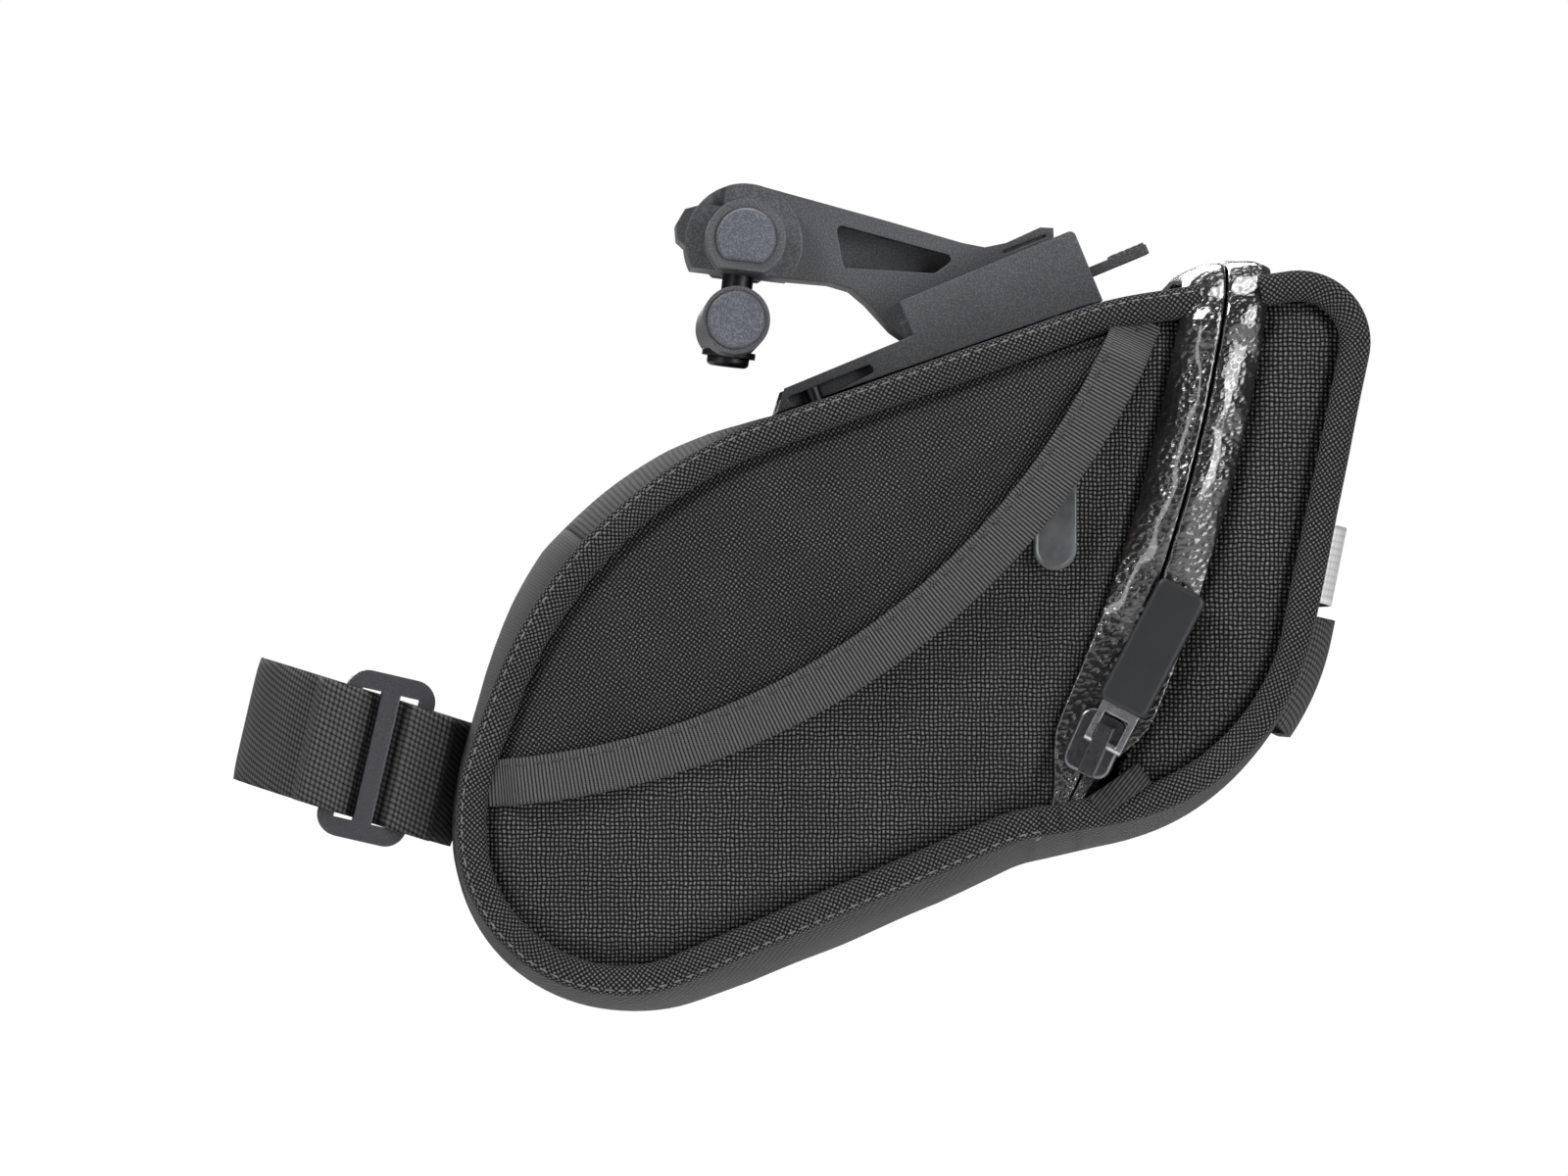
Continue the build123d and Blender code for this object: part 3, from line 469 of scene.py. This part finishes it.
# ---------------------------------------------------------------- gussets
TOP_FRONT, TOP_REAR = zip_cross(ZIP_R - TAPE, True), zip_cross(ZIP_R + TAPE, True)
SEAM_TOP, SEAM_BOTTOM = zip_cross(ZIP_R, True), zip_cross(ZIP_R, False)
CROWN = [
    (68, -2.4, 1.5), (60, -3.9, 1.25), (50, -6.5, 1.2), (8, -21, 1.0), (0, -24, 1.7), (-10, -30, 3.4),
    (-27, -46, 4.8), (-36, -60, 3.2), (-44, -80, 1.4), (-44, -95, 1.8), (-36, -107, 2.8),
    (-20, -113.5, 4.0), (0, -107.5, 5.6), (30, -94.5, 6.0), (45, -89, 5.2), (60, -86, 4.8),
    (76, -78, 3.6), (88, -66, 2.6), (93, -45, 2.4), (97, -15, 1.4), (90, 0.8, 1.3), (78, -0.5, 1.5),
]
SQUARE = [
    (68, -2.4, 3.0), (58, -4, 6.0), (8, -21, 6.0), (-6, -28, 2.4), (-27, -46, 2.2), (-44, -90, 2.4),
    (0, -107.5, 2.2), (60, -86, 2.2), (93, -40, 3.0), (78, -0.5, 3.0),
]
EDGE = -0.6


def keep_off_post(p, gap):
    """Moves points that would be inside the seatpost's space out of it, to the rear."""
    axis = POST_C[0] + (p[..., 2] - POST_C[1]) * math.tan(POST_TILT)
    radius = (POST_R + gap)
    reach = np.sqrt(np.clip(radius ** 2 - p[..., 1] ** 2, 0, None)) / math.cos(POST_TILT)
    inside = (np.abs(p[..., 1]) < radius) & (p[..., 0] < axis + reach)
    p[..., 0] = np.where(inside, axis + reach, p[..., 0])
    return p


def gusset_points(s, count=44):
    t = np.linspace(-1, 1, count)
    s2, t2 = np.meshgrid(s, t, indexing="ij")
    base = at(s2)
    out = EDGE + along(s, CROWN)[:, None] * (1 - np.abs(t2) ** along(s, SQUARE)[:, None])
    p = at(s2, out)
    y = t2 * (half(base[..., 0]) - 0.6)
    p = np.stack([p[..., 0], y, p[..., 1]], -1)
    soft = wobble(p, 16.0) * 0.45 * (1 - t2 ** 2)
    free = (along(s, [(8, -21, 0), (-4, -27, 1), (-40, -70, 0.6), (30, -94.5, 1.0), (62, -85, 1),
                      (95, -30, 0.5), (85, 1, 0.5), (64, -3, 0), (50, -6.5, 0)]))[:, None]
    p[..., 2] += soft * free
    return keep_off_post(p, 2.1), np.stack([s2, y], -1)


def span(a, b, step=1.6):
    return np.linspace(a, b, max(4, int(abs(b - a) / step)))


def outward(c):
    p = np.array([c[0], c[2]])
    return tuple(np.array([p[0] - 20, 0, p[1] + 62]) / 60)


def gusset(name, a, b, material, body, nodes):
    p, uv = gusset_points(span(a, b))
    obj = grid(name, p, uv, material, body, 1.6, outward)
    if nodes:
        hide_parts(*nodes)
    return obj


nose_top, nose_low = near(-24.0, -42.8), near(-36.0, -108.5)
gusset("gusset_top", TOP_FRONT - 1.5, nose_top, M["gusset"], "bag", ["top_gusset"])
gusset("gusset_nose", nose_top, nose_low + LENGTH, M["nose"], "bag", ["nose_gusset"])
gusset("gusset_belly", nose_low, SEAM_BOTTOM - 4, M["belly"], "bag", ["bottom_gusset"])
gusset("gusset_cap", SEAM_BOTTOM + 4, TOP_REAR + 1.5, M["belly"], "rear_cap", ["cap_gusset"])
fold = gusset("gusset_hinge", SEAM_BOTTOM - 4, SEAM_BOTTOM + 4, M["belly"], None, [])
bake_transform(fold)


# ---------------------------------------------------------------- side panels
def ray_circle(c, d, centre, radius):
    """Distance from c along d to the circle, or infinity."""
    v = c - centre
    b, q = v @ d, v @ v - radius ** 2
    disc = b * b - q
    if disc < 0:
        return math.inf
    hits = [h for h in (-b - math.sqrt(disc), -b + math.sqrt(disc)) if h > 1e-6]
    return min(hits) if hits else math.inf


def ray_outline(c, d, grow):
    """Distance from c along d to the outline moved out by grow."""
    a = at(np.linspace(0, LENGTH, 700), grow) - c
    e = np.roll(a, -1, axis=0) - a
    det = d[0] * e[:, 1] - d[1] * e[:, 0]
    det = np.where(np.abs(det) < 1e-9, 1e-9, det)
    t = (a[:, 0] * e[:, 1] - a[:, 1] * e[:, 0]) / det
    w = (a[:, 0] * d[1] - a[:, 1] * d[0]) / det
    ok = (t > 0) & (w >= -0.01) & (w <= 1.01)
    return t[ok].min() if ok.any() else math.inf


def foot_taper(z):
    """The tapes narrow towards their lower ends."""
    return 1 - 0.72 * smooth((-70 - np.asarray(z)) / 13.0)


def zip_limit(inset):
    """The zip's circle moved by inset, which shrinks to nothing below the tapes."""
    def limit(c, d):
        reach = ray_circle(c, d, ZIP_C, ZIP_R - inset)
        for _ in range(12):
            z = (c + min(reach, 400.0) * d)[1]
            share = float(foot_taper(z) * smooth((z - ZIP_FOOT) / 5))
            shrink = share * inset + math.copysign(0.15, inset)
            reach = 0.5 * reach + 0.5 * ray_circle(c, d, ZIP_C, ZIP_R - shrink)
            if reach == math.inf:
                break
        return reach
    return limit


def patch_points(centre, limits, angles=260, rings=36):
    """A polar grid that fills a region: (x, z) points and each one's distance to the edge."""
    centre = np.array(centre)
    xz, edge = np.zeros((rings, angles, 2)), np.zeros((rings, angles))
    frac = 1 - (1 - np.linspace(0.0, 1, rings)) ** 1.4
    for j in range(angles):
        a = TAU * j / angles
        d = np.array([math.cos(a), math.sin(a)])
        reach = min(limit(centre, d) for limit in limits)
        xz[:, j] = centre + np.outer(frac * reach, d)
    for i in range(rings):
        gaps = np.linalg.norm(xz[i][:, None] - xz[-1][None], axis=-1)
        edge[i] = gaps.min(axis=1)
    return xz, edge


def patch(name, side, region, height, material, body, nodes, thickness=1.5):
    xz, edge = region
    h = height(xz, edge)
    under = (np.abs(np.linalg.norm(xz - ZIP_C, axis=-1) - ZIP_R) < TAPE) & (xz[..., 1] > ZIP_FOOT)
    h = np.where(under, np.minimum(h, -1.0), h)
    y = side * (half(xz[..., 0]) + h)
    p = np.stack([xz[..., 0], y, xz[..., 1]], -1)
    obj = grid(name, p, xz, material, body, thickness, side_hint(side), loop_v=True)
    if nodes:
        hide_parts(*nodes)
    return obj


def xyz(xz):
    return np.stack([xz[..., 0], np.zeros(xz.shape[:-1]), xz[..., 1]], -1)


def side_height(xz, edge):
    h = -1.6 + 2.6 * smooth(edge / 5.0) + 2.2 * smooth((edge - 4) / 30.0)
    near_zip = (ZIP_R - TAPE) - np.linalg.norm(xz - ZIP_C, axis=-1)
    h = h - 1.2 * np.exp(-((near_zip - 7.0) / 3.0) ** 2) * smooth(edge / 6.0)
    h = h + wobble(xyz(xz), 22.0) * 0.7 * smooth(edge / 10.0)
    h = h + wobble(xyz(xz), 7.0, 5.0) * 0.22 * smooth(edge / 6.0)
    return h


def pocket_gap(xz):
    """How far the pocket's lower edge stands off the side panel, along its length."""
    x = xz[..., 0]
    return 1.2 + 3.2 * smooth((x + 20) / 50.0) * smooth((80 - x) / 22.0)


def pocket_height(xz, edge):
    rim = POCKET_R - np.linalg.norm(xz - POCKET_C, axis=-1)
    base = side_height(xz, edge * 0 + np.minimum(edge, 30.0))
    mouth = (pocket_gap(xz) - 0.9) * np.exp(-rim / 14.0) * smooth(edge / 3.0)
    lift = 0.9 + 1.9 * smooth(edge / 16.0) + mouth
    x, z = xz[..., 0], xz[..., 1]
    bend = 1.6 * wobble(xyz(xz), 20.0, 3.0)
    folds = np.abs(np.sin((x * 0.92 - z * 0.36) / 9.5 + bend)) ** 0.6 * 1.7 - 1.1
    folds *= smooth(edge / 12.0) * np.clip(wobble(xyz(xz), 24.0, 9.0) * 1.6 + 0.45, 0, 1)
    return base + lift + folds + wobble(xyz(xz), 9.0, 2.0) * 0.35 * smooth(edge / 8.0)


def pocket_edge_height(xz):
    """Height of the binding's middle above the side plane."""
    outline_gap = np.full(xz.shape[:-1], 30.0)
    for i in np.ndindex(xz.shape[:-1]):
        outline_gap[i] = np.min(np.linalg.norm(at(np.linspace(0, LENGTH, 240), -4.4) - xz[i], axis=1))
    return side_height(xz, np.minimum(outline_gap, 12.0)) * 0.8 + pocket_gap(xz) * smooth(outline_gap / 5.0)


front_region = patch_points((5.0, -62.0), [
    lambda c, d: ray_outline(c, d, PANEL_IN),
    zip_limit(TAPE - 1.2),
])
cap_region = patch_points((80.0, -42.0), [
    lambda c, d: ray_outline(c, d, PANEL_IN),
    zip_limit(1.2 - TAPE),
], rings=26)
pocket_region = patch_points((5.0, -48.0), [
    lambda c, d: ray_outline(c, d, -4.3),
    lambda c, d: ray_circle(c, d, ZIP_C, ZIP_R - TAPE - 0.5),
    lambda c, d: ray_circle(c, d, POCKET_C, POCKET_R - 2.5),
], rings=30)


def cap_height(xz, edge):
    h = -1.6 + 2.6 * smooth(edge / 4.5) + 1.2 * smooth((edge - 3) / 14.0)
    return h + wobble(xyz(xz), 18.0, 4.0) * 0.6 * smooth(edge / 8.0) + wobble(xyz(xz), 6.0) * 0.15


for which, sign in SIDES.items():
    patch(f"side_panel_{which}", sign, front_region, side_height, M["side"], "bag", [f"{which}_side_panel"])
    patch(f"cap_panel_{which}", sign, cap_region, cap_height, M["cap"], "rear_cap",
          [f"cap_{which}_panel"])
    patch(f"pocket_{which}", sign, pocket_region, pocket_height, M["pocket"], "bag",
          [f"{which}_pocket_panel"], thickness=0.7)


# ---------------------------------------------------------------- tubes and ribbons
def sweep(name, centre, across, up, half_w, half_h, material, body, power=2.6, ring=20):
    """A rounded ribbon or roll: centre[n, 3] with unit across and up vectors, closed ends."""
    n = len(centre)
    a = np.linspace(0, TAU, ring, endpoint=False)
    cx = np.sign(np.cos(a)) * np.abs(np.cos(a)) ** (2 / power)
    cz = np.sign(np.sin(a)) * np.abs(np.sin(a)) ** (2 / power)
    half_w, half_h = np.broadcast_to(half_w, n), np.broadcast_to(half_h, n)
    p = (centre[:, None] + across[:, None] * half_w[:, None, None] * cx[None, :, None]
         + up[:, None] * half_h[:, None, None] * cz[None, :, None])
    run = np.concatenate([[0], np.cumsum(np.linalg.norm(np.diff(centre, axis=0), axis=1))])
    turn = np.cumsum(np.linalg.norm(np.diff(p[n // 2], axis=0, append=p[n // 2][:1]), axis=1))
    uv = np.stack(np.meshgrid(run, np.concatenate([[0], turn[:-1]]), indexing="ij"), -1)
    return grid(name, p, uv, material, body, loop_v=True, caps=True)


STITCH = ((0, 0.35, -0.25), (0.12, 0.9, 0.0), (0.5, 1.05, 0.12), (0.88, 0.9, 0.0), (1, 0.35, -0.25))


def stitch_row(name, points, outs, material, body, length=2.3, gap=1.0, radius=0.24):
    """A row of sewn stitches on a line of points[n, 3]; outs[n, 3] point off the cloth."""
    run = np.concatenate([[0], np.cumsum(np.linalg.norm(np.diff(points, axis=0), axis=1))])
    verts, faces, uvs = [], [], []
    s = gap
    while s + length < run[-1]:
        ends = [np.array([np.interp(s + e, run, points[:, k]) for k in range(3)]) for e in (0, length)]
        up = np.array([np.interp(s, run, outs[:, k]) for k in range(3)])
        up /= np.linalg.norm(up)
        axis = ends[1] - ends[0]
        axis /= np.linalg.norm(axis)
        side = np.cross(axis, up)
        first = len(verts)
        for f, r, lift in STITCH:
            mid = ends[0] + (ends[1] - ends[0]) * f + up * lift * radius * 2
            for k in range(6):
                a = TAU * k / 6
                verts.append(mid + (side * math.cos(a) + up * math.sin(a)) * radius * r)
                uvs.append((f * length, k * 0.2))
        for i in range(4):
            for k in range(6):
                b = first + i * 6
                faces.append((b + k, b + (k + 1) % 6, b + 6 + (k + 1) % 6, b + 6 + k))
        faces.append(tuple(range(first, first + 6)))
        faces.append(tuple(reversed(range(first + 24, first + 30))))
        s += length + gap * (1 + 0.12 * rng.uniform(-1, 1))
    return finish_mesh(name, verts, faces, uvs, material, body)


def piping(name, a, b, side, body, nodes):
    """The rolled edge between a side and the gusset, with its stitches on the bag."""
    s = span(a, b, 1.3)
    p = at(s, PIPE_IN)
    lift = 0.45 + 0.12 * wobble(xyz(p), 9.0, side)
    y = side * (half(p[:, 0]) + lift)
    centre = np.stack([p[:, 0], y, p[:, 1]], -1)
    out = at(s, PIPE_IN + 1) - p
    across = np.stack([out[:, 0], np.zeros(len(s)), out[:, 1]], -1)
    up = np.tile([0, side, 0], (len(s), 1)).astype(float)
    width = 2.45 + 0.12 * wobble(xyz(p), 14.0, 2.0)
    obj = sweep(name, centre, across, up, width, 1.75, M["piping"], body, power=2.3)
    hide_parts(*nodes)
    if body == "bag":
        line = centre + across * 1.5 + up * 1.38
        stitch_row(name + "_stitches", line, up + across * 0.8, M["thread"], body, 1.5, 0.7, 0.17)
    return obj


for which, sign in SIDES.items():
    piping(f"piping_{which}", TOP_FRONT - UNDER_ZIP, SEAM_BOTTOM + LENGTH - 1.5, sign, "bag",
           [f"{which}_piping"])
    piping(f"cap_piping_{which}", SEAM_BOTTOM + 1.5, TOP_REAR + UNDER_ZIP, sign, "rear_cap",
           [f"cap_{which}_piping"])
    s = span(SEAM_BOTTOM - 3.5, SEAM_BOTTOM + 3.5, 0.6)
    p = at(s, PIPE_IN)
    centre = np.stack([p[:, 0], sign * (half(p[:, 0]) + 0.35), p[:, 1]], -1)
    out = at(s, PIPE_IN + 1) - p
    across = np.stack([out[:, 0], np.zeros(len(s)), out[:, 1]], -1)
    web = sweep(f"piping_hinge_{which}", centre, across, np.tile([0, float(sign), 0], (len(s), 1)),
                2.35, 1.6, M["piping"], None)
    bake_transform(web)


def binding(which, side):
    """The ribbed tape along the pocket's open edge."""
    mid_r = POCKET_R - BINDING_W / 2
    angles = []
    for k in range(900):
        a = -1.75 + 1.85 * k / 899
        p = POCKET_C + mid_r * np.array([math.cos(a), math.sin(a)])
        inside = np.linalg.norm(p - ZIP_C) < ZIP_R - TAPE - 1.5
        c = np.array([5.0, -62.0])
        d = p - c
        dist = np.linalg.norm(d)
        if inside and dist < ray_outline(c, d / dist, -3.4):
            angles.append(a)
    a = np.linspace(angles[0], angles[-1], 130)
    p = POCKET_C + mid_r * np.stack([np.cos(a), np.sin(a)], -1)
    h = pocket_edge_height(p) + 0.9
    centre = np.stack([p[:, 0], side * (half(p[:, 0]) + h), p[:, 1]], -1)
    out = np.stack([np.cos(a), np.full(len(a), 0.0), np.sin(a)], -1)
    up = np.tile([0.0, float(side), 0.0], (len(a), 1))
    obj = sweep(f"pocket_binding_{which}", centre, out, up, BINDING_W / 2, 0.95, M["binding"],
                "bag", power=2.9)
    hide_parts(f"{which}_pocket_binding")
    stitch_row(f"binding_stitches_{which}", centre - out * 2.6 + up * 0.84, up, M["dull_thread"],
               "bag", 1.9, 0.9, 0.17)
    return obj


for which, sign in SIDES.items():
    binding(which, sign)


# ---------------------------------------------------------------- zip
def zip_section(radius, foot=ZIP_FOOT, corner=7.0):
    """Points (y, z) of the arch that the zip makes, from the left foot to the right one."""
    top_s = zip_cross(radius, True)
    ztop = at(top_s)[1] + 0.9
    x_top = at(top_s)[0]
    width = float(half(x_top)) + 1.2
    pts = [(-1, foot + (ztop - corner - foot) * k / 46) for k in range(47)]
    section = []
    for _, z in pts:
        x = ZIP_C[0] + math.sqrt(radius ** 2 - (z - ZIP_C[1]) ** 2)
        section.append((x, -float(half(x)), z))
    edge_y = section[-1][1]
    for k in range(1, 12):
        a = math.pi / 2 * k / 12
        z = ztop - corner + corner * math.sin(a)
        x = ZIP_C[0] + math.sqrt(radius ** 2 - (z - ZIP_C[1]) ** 2)
        section.append((x, edge_y + corner * (1 - math.cos(a)), z))
    start = edge_y + corner
    across = [(x_top, start - 2 * start * k / 24, ztop + 0.9 * math.sin(math.pi * k / 24)) for k in range(25)]
    mirror = [(x, -y, z) for x, y, z in reversed(section)]
    return np.array(section + across + mirror)


def zip_band(name, inner, outer, body, node):
    """One of the zip's two puffed film tapes, between two distances from the seam."""
    steps = 15
    rows = []
    for k in range(steps):
        f = k / (steps - 1)
        rows.append(zip_section(ZIP_R + inner + (outer - inner) * f))
    p = np.stack(rows, 1)
    flat = p[..., [0, 2]] - ZIP_C
    radius = np.linalg.norm(flat, axis=-1)
    tapered = ZIP_R + (radius - ZIP_R) * np.where(p[..., 2] < -69, foot_taper(p[..., 2]), 1.0)
    p[..., 0] = ZIP_C[0] + flat[..., 0] * tapered / radius
    p[..., 2] = ZIP_C[1] + flat[..., 1] * tapered / radius
    run = np.concatenate([[0], np.cumsum(np.linalg.norm(np.diff(p[:, 0], axis=0), axis=1))])
    w = np.linspace(inner, outer, steps)
    side_part = smooth((np.abs(p[..., 1]) - (half(p[..., 0]) - 7)) / 6)
    puff = 0.1 + 4.2 * smooth((p[..., 2] + 64) / 30) * (0.3 + 0.7 * smooth((0 - p[..., 2]) / 18))
    puff = puff * side_part + 1.5 * (1 - side_part)
    top_z = float(p[..., 2].max())
    climb = 1.9 * smooth((p[..., 2] - top_z + 15) / 7) * side_part + 0.8 * (1 - side_part)
    climb = climb * (1 - 0.95 * (np.abs(w) / 7) ** 8)[None, :]
    profile = climb + puff * (1 - (w / 7.5) ** 2)[None, :] - 0.35 * np.exp(-(w / 0.5) ** 2)[None, :]
    direction = np.zeros_like(p)
    direction[..., 1] = np.sign(p[..., 1]) * side_part
    direction[..., 2] = 1 - side_part
    free = np.clip(puff / 1.5, 0.1, 1)
    ripple = (wobble(p, 2.6, 1.0) * 0.2 + wobble(p, 7.0, 4.0) * 0.35) * free
    p = p + direction * (profile + ripple)[..., None]
    uv = np.stack(np.meshgrid(run, w, indexing="ij"), -1)
    obj = grid(name, p, uv, M["film"], body, 0.9, lambda c: (0, c[1], (c[2] + 45) * 0.8))
    sub = obj.modifiers.new("soft", "SUBSURF")
    sub.levels = sub.render_levels = 1
    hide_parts(node)
    return obj


zip_band("zip_band_front", -TAPE, -0.05, "bag", "zip_tape_front")
zip_band("zip_band_rear", 0.05, TAPE, "rear_cap", "zip_tape_rear")

def inner_flap(which, side):
    """A strip of cloth behind the zip's lower end."""
    z, r = np.meshgrid(np.linspace(-86, -72, 16), np.linspace(-3.2, 3.2, 6), indexing="ij")
    x = ZIP_C[0] + np.sqrt((ZIP_R + r) ** 2 - (z - ZIP_C[1]) ** 2)
    p = np.stack([x, side * (half(x) - 4.4), z], -1)
    grid(f"inner_flap_{which}", p, np.stack([z, r], -1), M["gusset"], "bag", 0.6, side_hint(side))


for which, sign in SIDES.items():
    inner_flap(which, sign)


# ---------------------------------------------------------------- small soft trim
def end_tab(which, side):
    """The ribbed tab that covers the zip's lower end."""
    c, a = END_TAB_C, END_TAB_TILT
    d, e = np.array([math.cos(a), math.sin(a)]), np.array([-math.sin(a), math.cos(a)])
    u = np.linspace(-END_TAB_HALF, END_TAB_HALF, 26)
    p = c + u[:, None] * d
    lift = 2.5 - 0.9 * (np.abs(u) / END_TAB_HALF) ** 3
    centre = np.stack([p[:, 0], side * (half(p[:, 0]) + lift), p[:, 1]], -1)
    across = np.tile([e[0], 0, e[1]], (len(u), 1))
    up = np.tile([0.0, float(side), 0.0], (len(u), 1))
    obj = sweep(f"end_tab_{which}", centre, across, up, 1.95, 0.55, M["tab_tape"], "rear_cap", power=3.5)
    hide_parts(f"zip_end_tab_{which}")


def pocket_tab(which, side):
    """The small grey rubber tab that shows from under the pocket's edge."""
    c, r = POCKET_TAB_C, POCKET_TAB_R
    ring = [c + r * np.array([math.cos(a), math.sin(a)]) for a in np.linspace(math.pi, TAU, 17)]
    ring += [c + np.array([r, 10.5]), c + np.array([-r, 5.5])]
    ring = np.array(ring)
    shells = []
    section = ((0.9, 0.0), (1.0, 0.3), (1.0, 0.75), (0.93, 0.95), (0.88, 0.97), (0.82, 0.8), (0.74, 0.75),
               (0.0, 0.75))
    for f, h in section:
        q = c + (ring - c) * f
        y = side * (half(q[:, 0]) + POCKET_TAB_OUT + h)
        shells.append(np.stack([q[:, 0], y, q[:, 1]], -1))
    p = np.stack(shells, 0)
    obj = grid(f"pocket_tab_{which}", p, p[..., [0, 2]], M["tab"], "bag", loop_v=True)
    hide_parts(f"{which}_pocket_tab")


for which, sign in SIDES.items():
    end_tab(which, sign)
    pocket_tab(which, sign)


def rear_strip(name, z0, z1, wide, lift, bow, thick, material, node):
    """A strip across the cap's rear face, between two heights, that stands off by bow."""
    y = np.linspace(-wide, wide, 60)
    s = np.linspace(near(88 if z0 < -65 else 91, z0), near(91, z1), 14)
    y2, s2 = np.meshgrid(y, s, indexing="ij")
    stand = lift * (1 - 0.85 * np.abs(y2 / wide) ** 10) + bow * (1 - np.abs(y2 / wide) ** 8)
    q = at(s2, stand)
    p = np.stack([q[..., 0], y2, q[..., 1]], -1)
    obj = grid(name, p, np.stack([y2, s2], -1), material, "rear_cap", thick, lambda c: (1, 0, 0))
    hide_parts(node)
    return obj


rear_strip("reflective_band", -51.5, -38.5, 35.5, 2.5, 0.9, 0.5, M["reflective"], "reflective_strip")
rear_strip("light_loop_band", -73.0, -53.5, 26.0, 2.6, 2.4, 1.1, M["webbing"], "light_loop")


# ---------------------------------------------------------------- seatpost strap
def post_point(angle, radius, v, lean=0.0):
    """A point round the post: angle in degrees seen from above, v up along the post."""
    a = math.radians(angle)
    x, y = radius * math.cos(a), radius * math.sin(a)
    z = v - x * math.tan(math.radians(lean))
    c, s = math.cos(POST_TILT), math.sin(POST_TILT)
    return (POST_C[0] + x * c + z * s, y, POST_C[1] - x * s + z * c)


def strap(name, start, end, radius, material, body, node, steps=90, thick=1.3):
    """Webbing round the post between two angles, at radius(angle)."""
    angles = np.linspace(start, end, steps)
    v = np.linspace(-STRAP_W / 2, STRAP_W / 2, 16)
    p = np.array([[post_point(a, radius(a) - 0.25 * (abs(w) / 10) ** 6, w, LEAN) for w in v]
                  for a in angles])
    arc = np.radians(angles) * POST_R
    uv = np.stack(np.meshgrid(arc, v, indexing="ij"), -1)
    obj = grid(name, p, uv, material, body, thick,
               lambda c: (c[0] - POST_C[0] - (c[2] - POST_C[1]) * math.tan(POST_TILT), c[1], 0))
    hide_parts(node)
    return obj


def strap_radius(a):
    """The strap lies on the post, climbs over the ring's side bars and dives under its middle one."""
    off = abs((a - RING_A + 180) % 360 - 180)
    low = POST_R + 1.75
    if off > 60:
        return low
    flat = 20.75 / math.cos(math.radians(min(off, 28)))
    r = low + (flat - low) * float(smooth((44 - off) / 19))
    tangent = r * math.sin(math.radians(off))
    return r - (r - 17.2) * float(smooth((4.6 - tangent) / 1.9))


strap("strap_band", -83.0, 277.0, strap_radius, M["webbing"], "bag", "post_strap", steps=260)
strap("strap_tail_band", 130.0, 247.0,
      lambda a: POST_R + 3.75 + 0.5 * math.sin(math.radians((a - 130) * 180 / 117)),
      M["webbing"], "strap_tail", "strap_tail")

# ---------------------------------------------------------------- carried-over CAD nodes
FINISH = {
    "moulding": ["fixer_body", "lower_jaw", "release_tongue", "bag_bracket", "backing_plate"],
    "plug": ["upper_bar_cap_left", "upper_bar_cap_right", "lower_bar_cap_left", "lower_bar_cap_right"],
    "dark": ["clamp_nut", "clamp_washer", "clamp_bolt", "bracket_screws"],
    "ring": ["strap_ring"], "gun": ["zip_slider"], "bright": ["pull_link"], "grip": ["pull_grip"],
    "coil": ["zip_coil_front", "zip_coil_rear"],
}
for key, names in FINISH.items():
    for node_name in names:
        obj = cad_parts[node_name]
        for slot in obj.material_slots:
            slot.material = M[key]
        if not obj.material_slots:
            obj.data.materials.append(M[key])


# ---------------------------------------------------------------- stage
def area(name, place, aim, size, power, size_y=None):
    """A soft light aimed at the object."""
    data = bpy.data.lights.new(name, "AREA")
    data.energy, data.size = power, size
    if size_y:
        data.shape, data.size_y = "RECTANGLE", size_y
    lamp = bpy.data.objects.new(name, data)
    bpy.context.scene.collection.objects.link(lamp)
    lamp.location = place
    lamp.rotation_euler = (Vector(aim) - Vector(place)).to_track_quat("-Z", "Y").to_euler()
    return lamp


AIM = (0.0075, 0.0, -0.049)
area("key", (-1.1, -0.8, 1.3), AIM, 0.6, 30)
area("side_soft", (1.3, -1.45, 0.2), AIM, 0.7, 34, 1.5)
area("front_soft", (-1.3, -1.4, -0.05), AIM, 0.25, 5, 1.2)
area("top_soft", (0.15, 0.1, 1.5), AIM, 0.9, 20)
area("back_soft", (-0.3, 1.5, 0.7), AIM, 1.0, 18)

bpy.ops.mesh.primitive_circle_add(vertices=96, radius=1.4, fill_type="NGON", location=(0, 0, -0.36))
floor = bpy.context.object
floor.name = "floor"
paper = Nodes("paper")
back = paper.new("ShaderNodeNewGeometry")
clear = paper.new("ShaderNodeMath", operation="SUBTRACT")
clear.inputs[0].default_value = 1.0
paper.put(back.outputs["Backfacing"], clear.inputs[1])
fibre = paper.noise(paper.place(), 20.0, 2.0)
floor.data.materials.append(paper.set(Base_Color=paper.ramp(fibre, [(0.3, 0.8), (0.7, 0.84)]), Roughness=0.8,
                                      Alpha=clear.outputs[0]))

world = bpy.data.worlds.new("studio")
world.use_nodes = True
sky = world.node_tree
sky.nodes["Background"].inputs["Color"].default_value = (1, 1, 1, 1)
seen = sky.nodes.new("ShaderNodeLightPath")
level = sky.nodes.new("ShaderNodeMapRange")
level.inputs["To Min"].default_value = 0.1
level.inputs["To Max"].default_value = 1.0
sky.links.new(seen.outputs["Is Camera Ray"], level.inputs["Value"])
sky.links.new(level.outputs["Result"], sky.nodes["Background"].inputs["Strength"])
bpy.context.scene.world = world
bpy.context.scene.view_settings.view_transform = "Standard"

camera_data = bpy.data.cameras.new("camera")
camera_data.sensor_width, camera_data.lens = 36.0, 300.0
camera_data.clip_start, camera_data.clip_end = 0.05, 40.0
camera = bpy.data.objects.new("camera", camera_data)
bpy.context.scene.collection.objects.link(camera)
camera.location = (-0.0442, -2.1, -0.0608)
camera.rotation_euler = (Vector(AIM) - camera.location).to_track_quat("-Z", "Y").to_euler()
bpy.context.scene.camera = camera

bpy.context.view_layer.update()
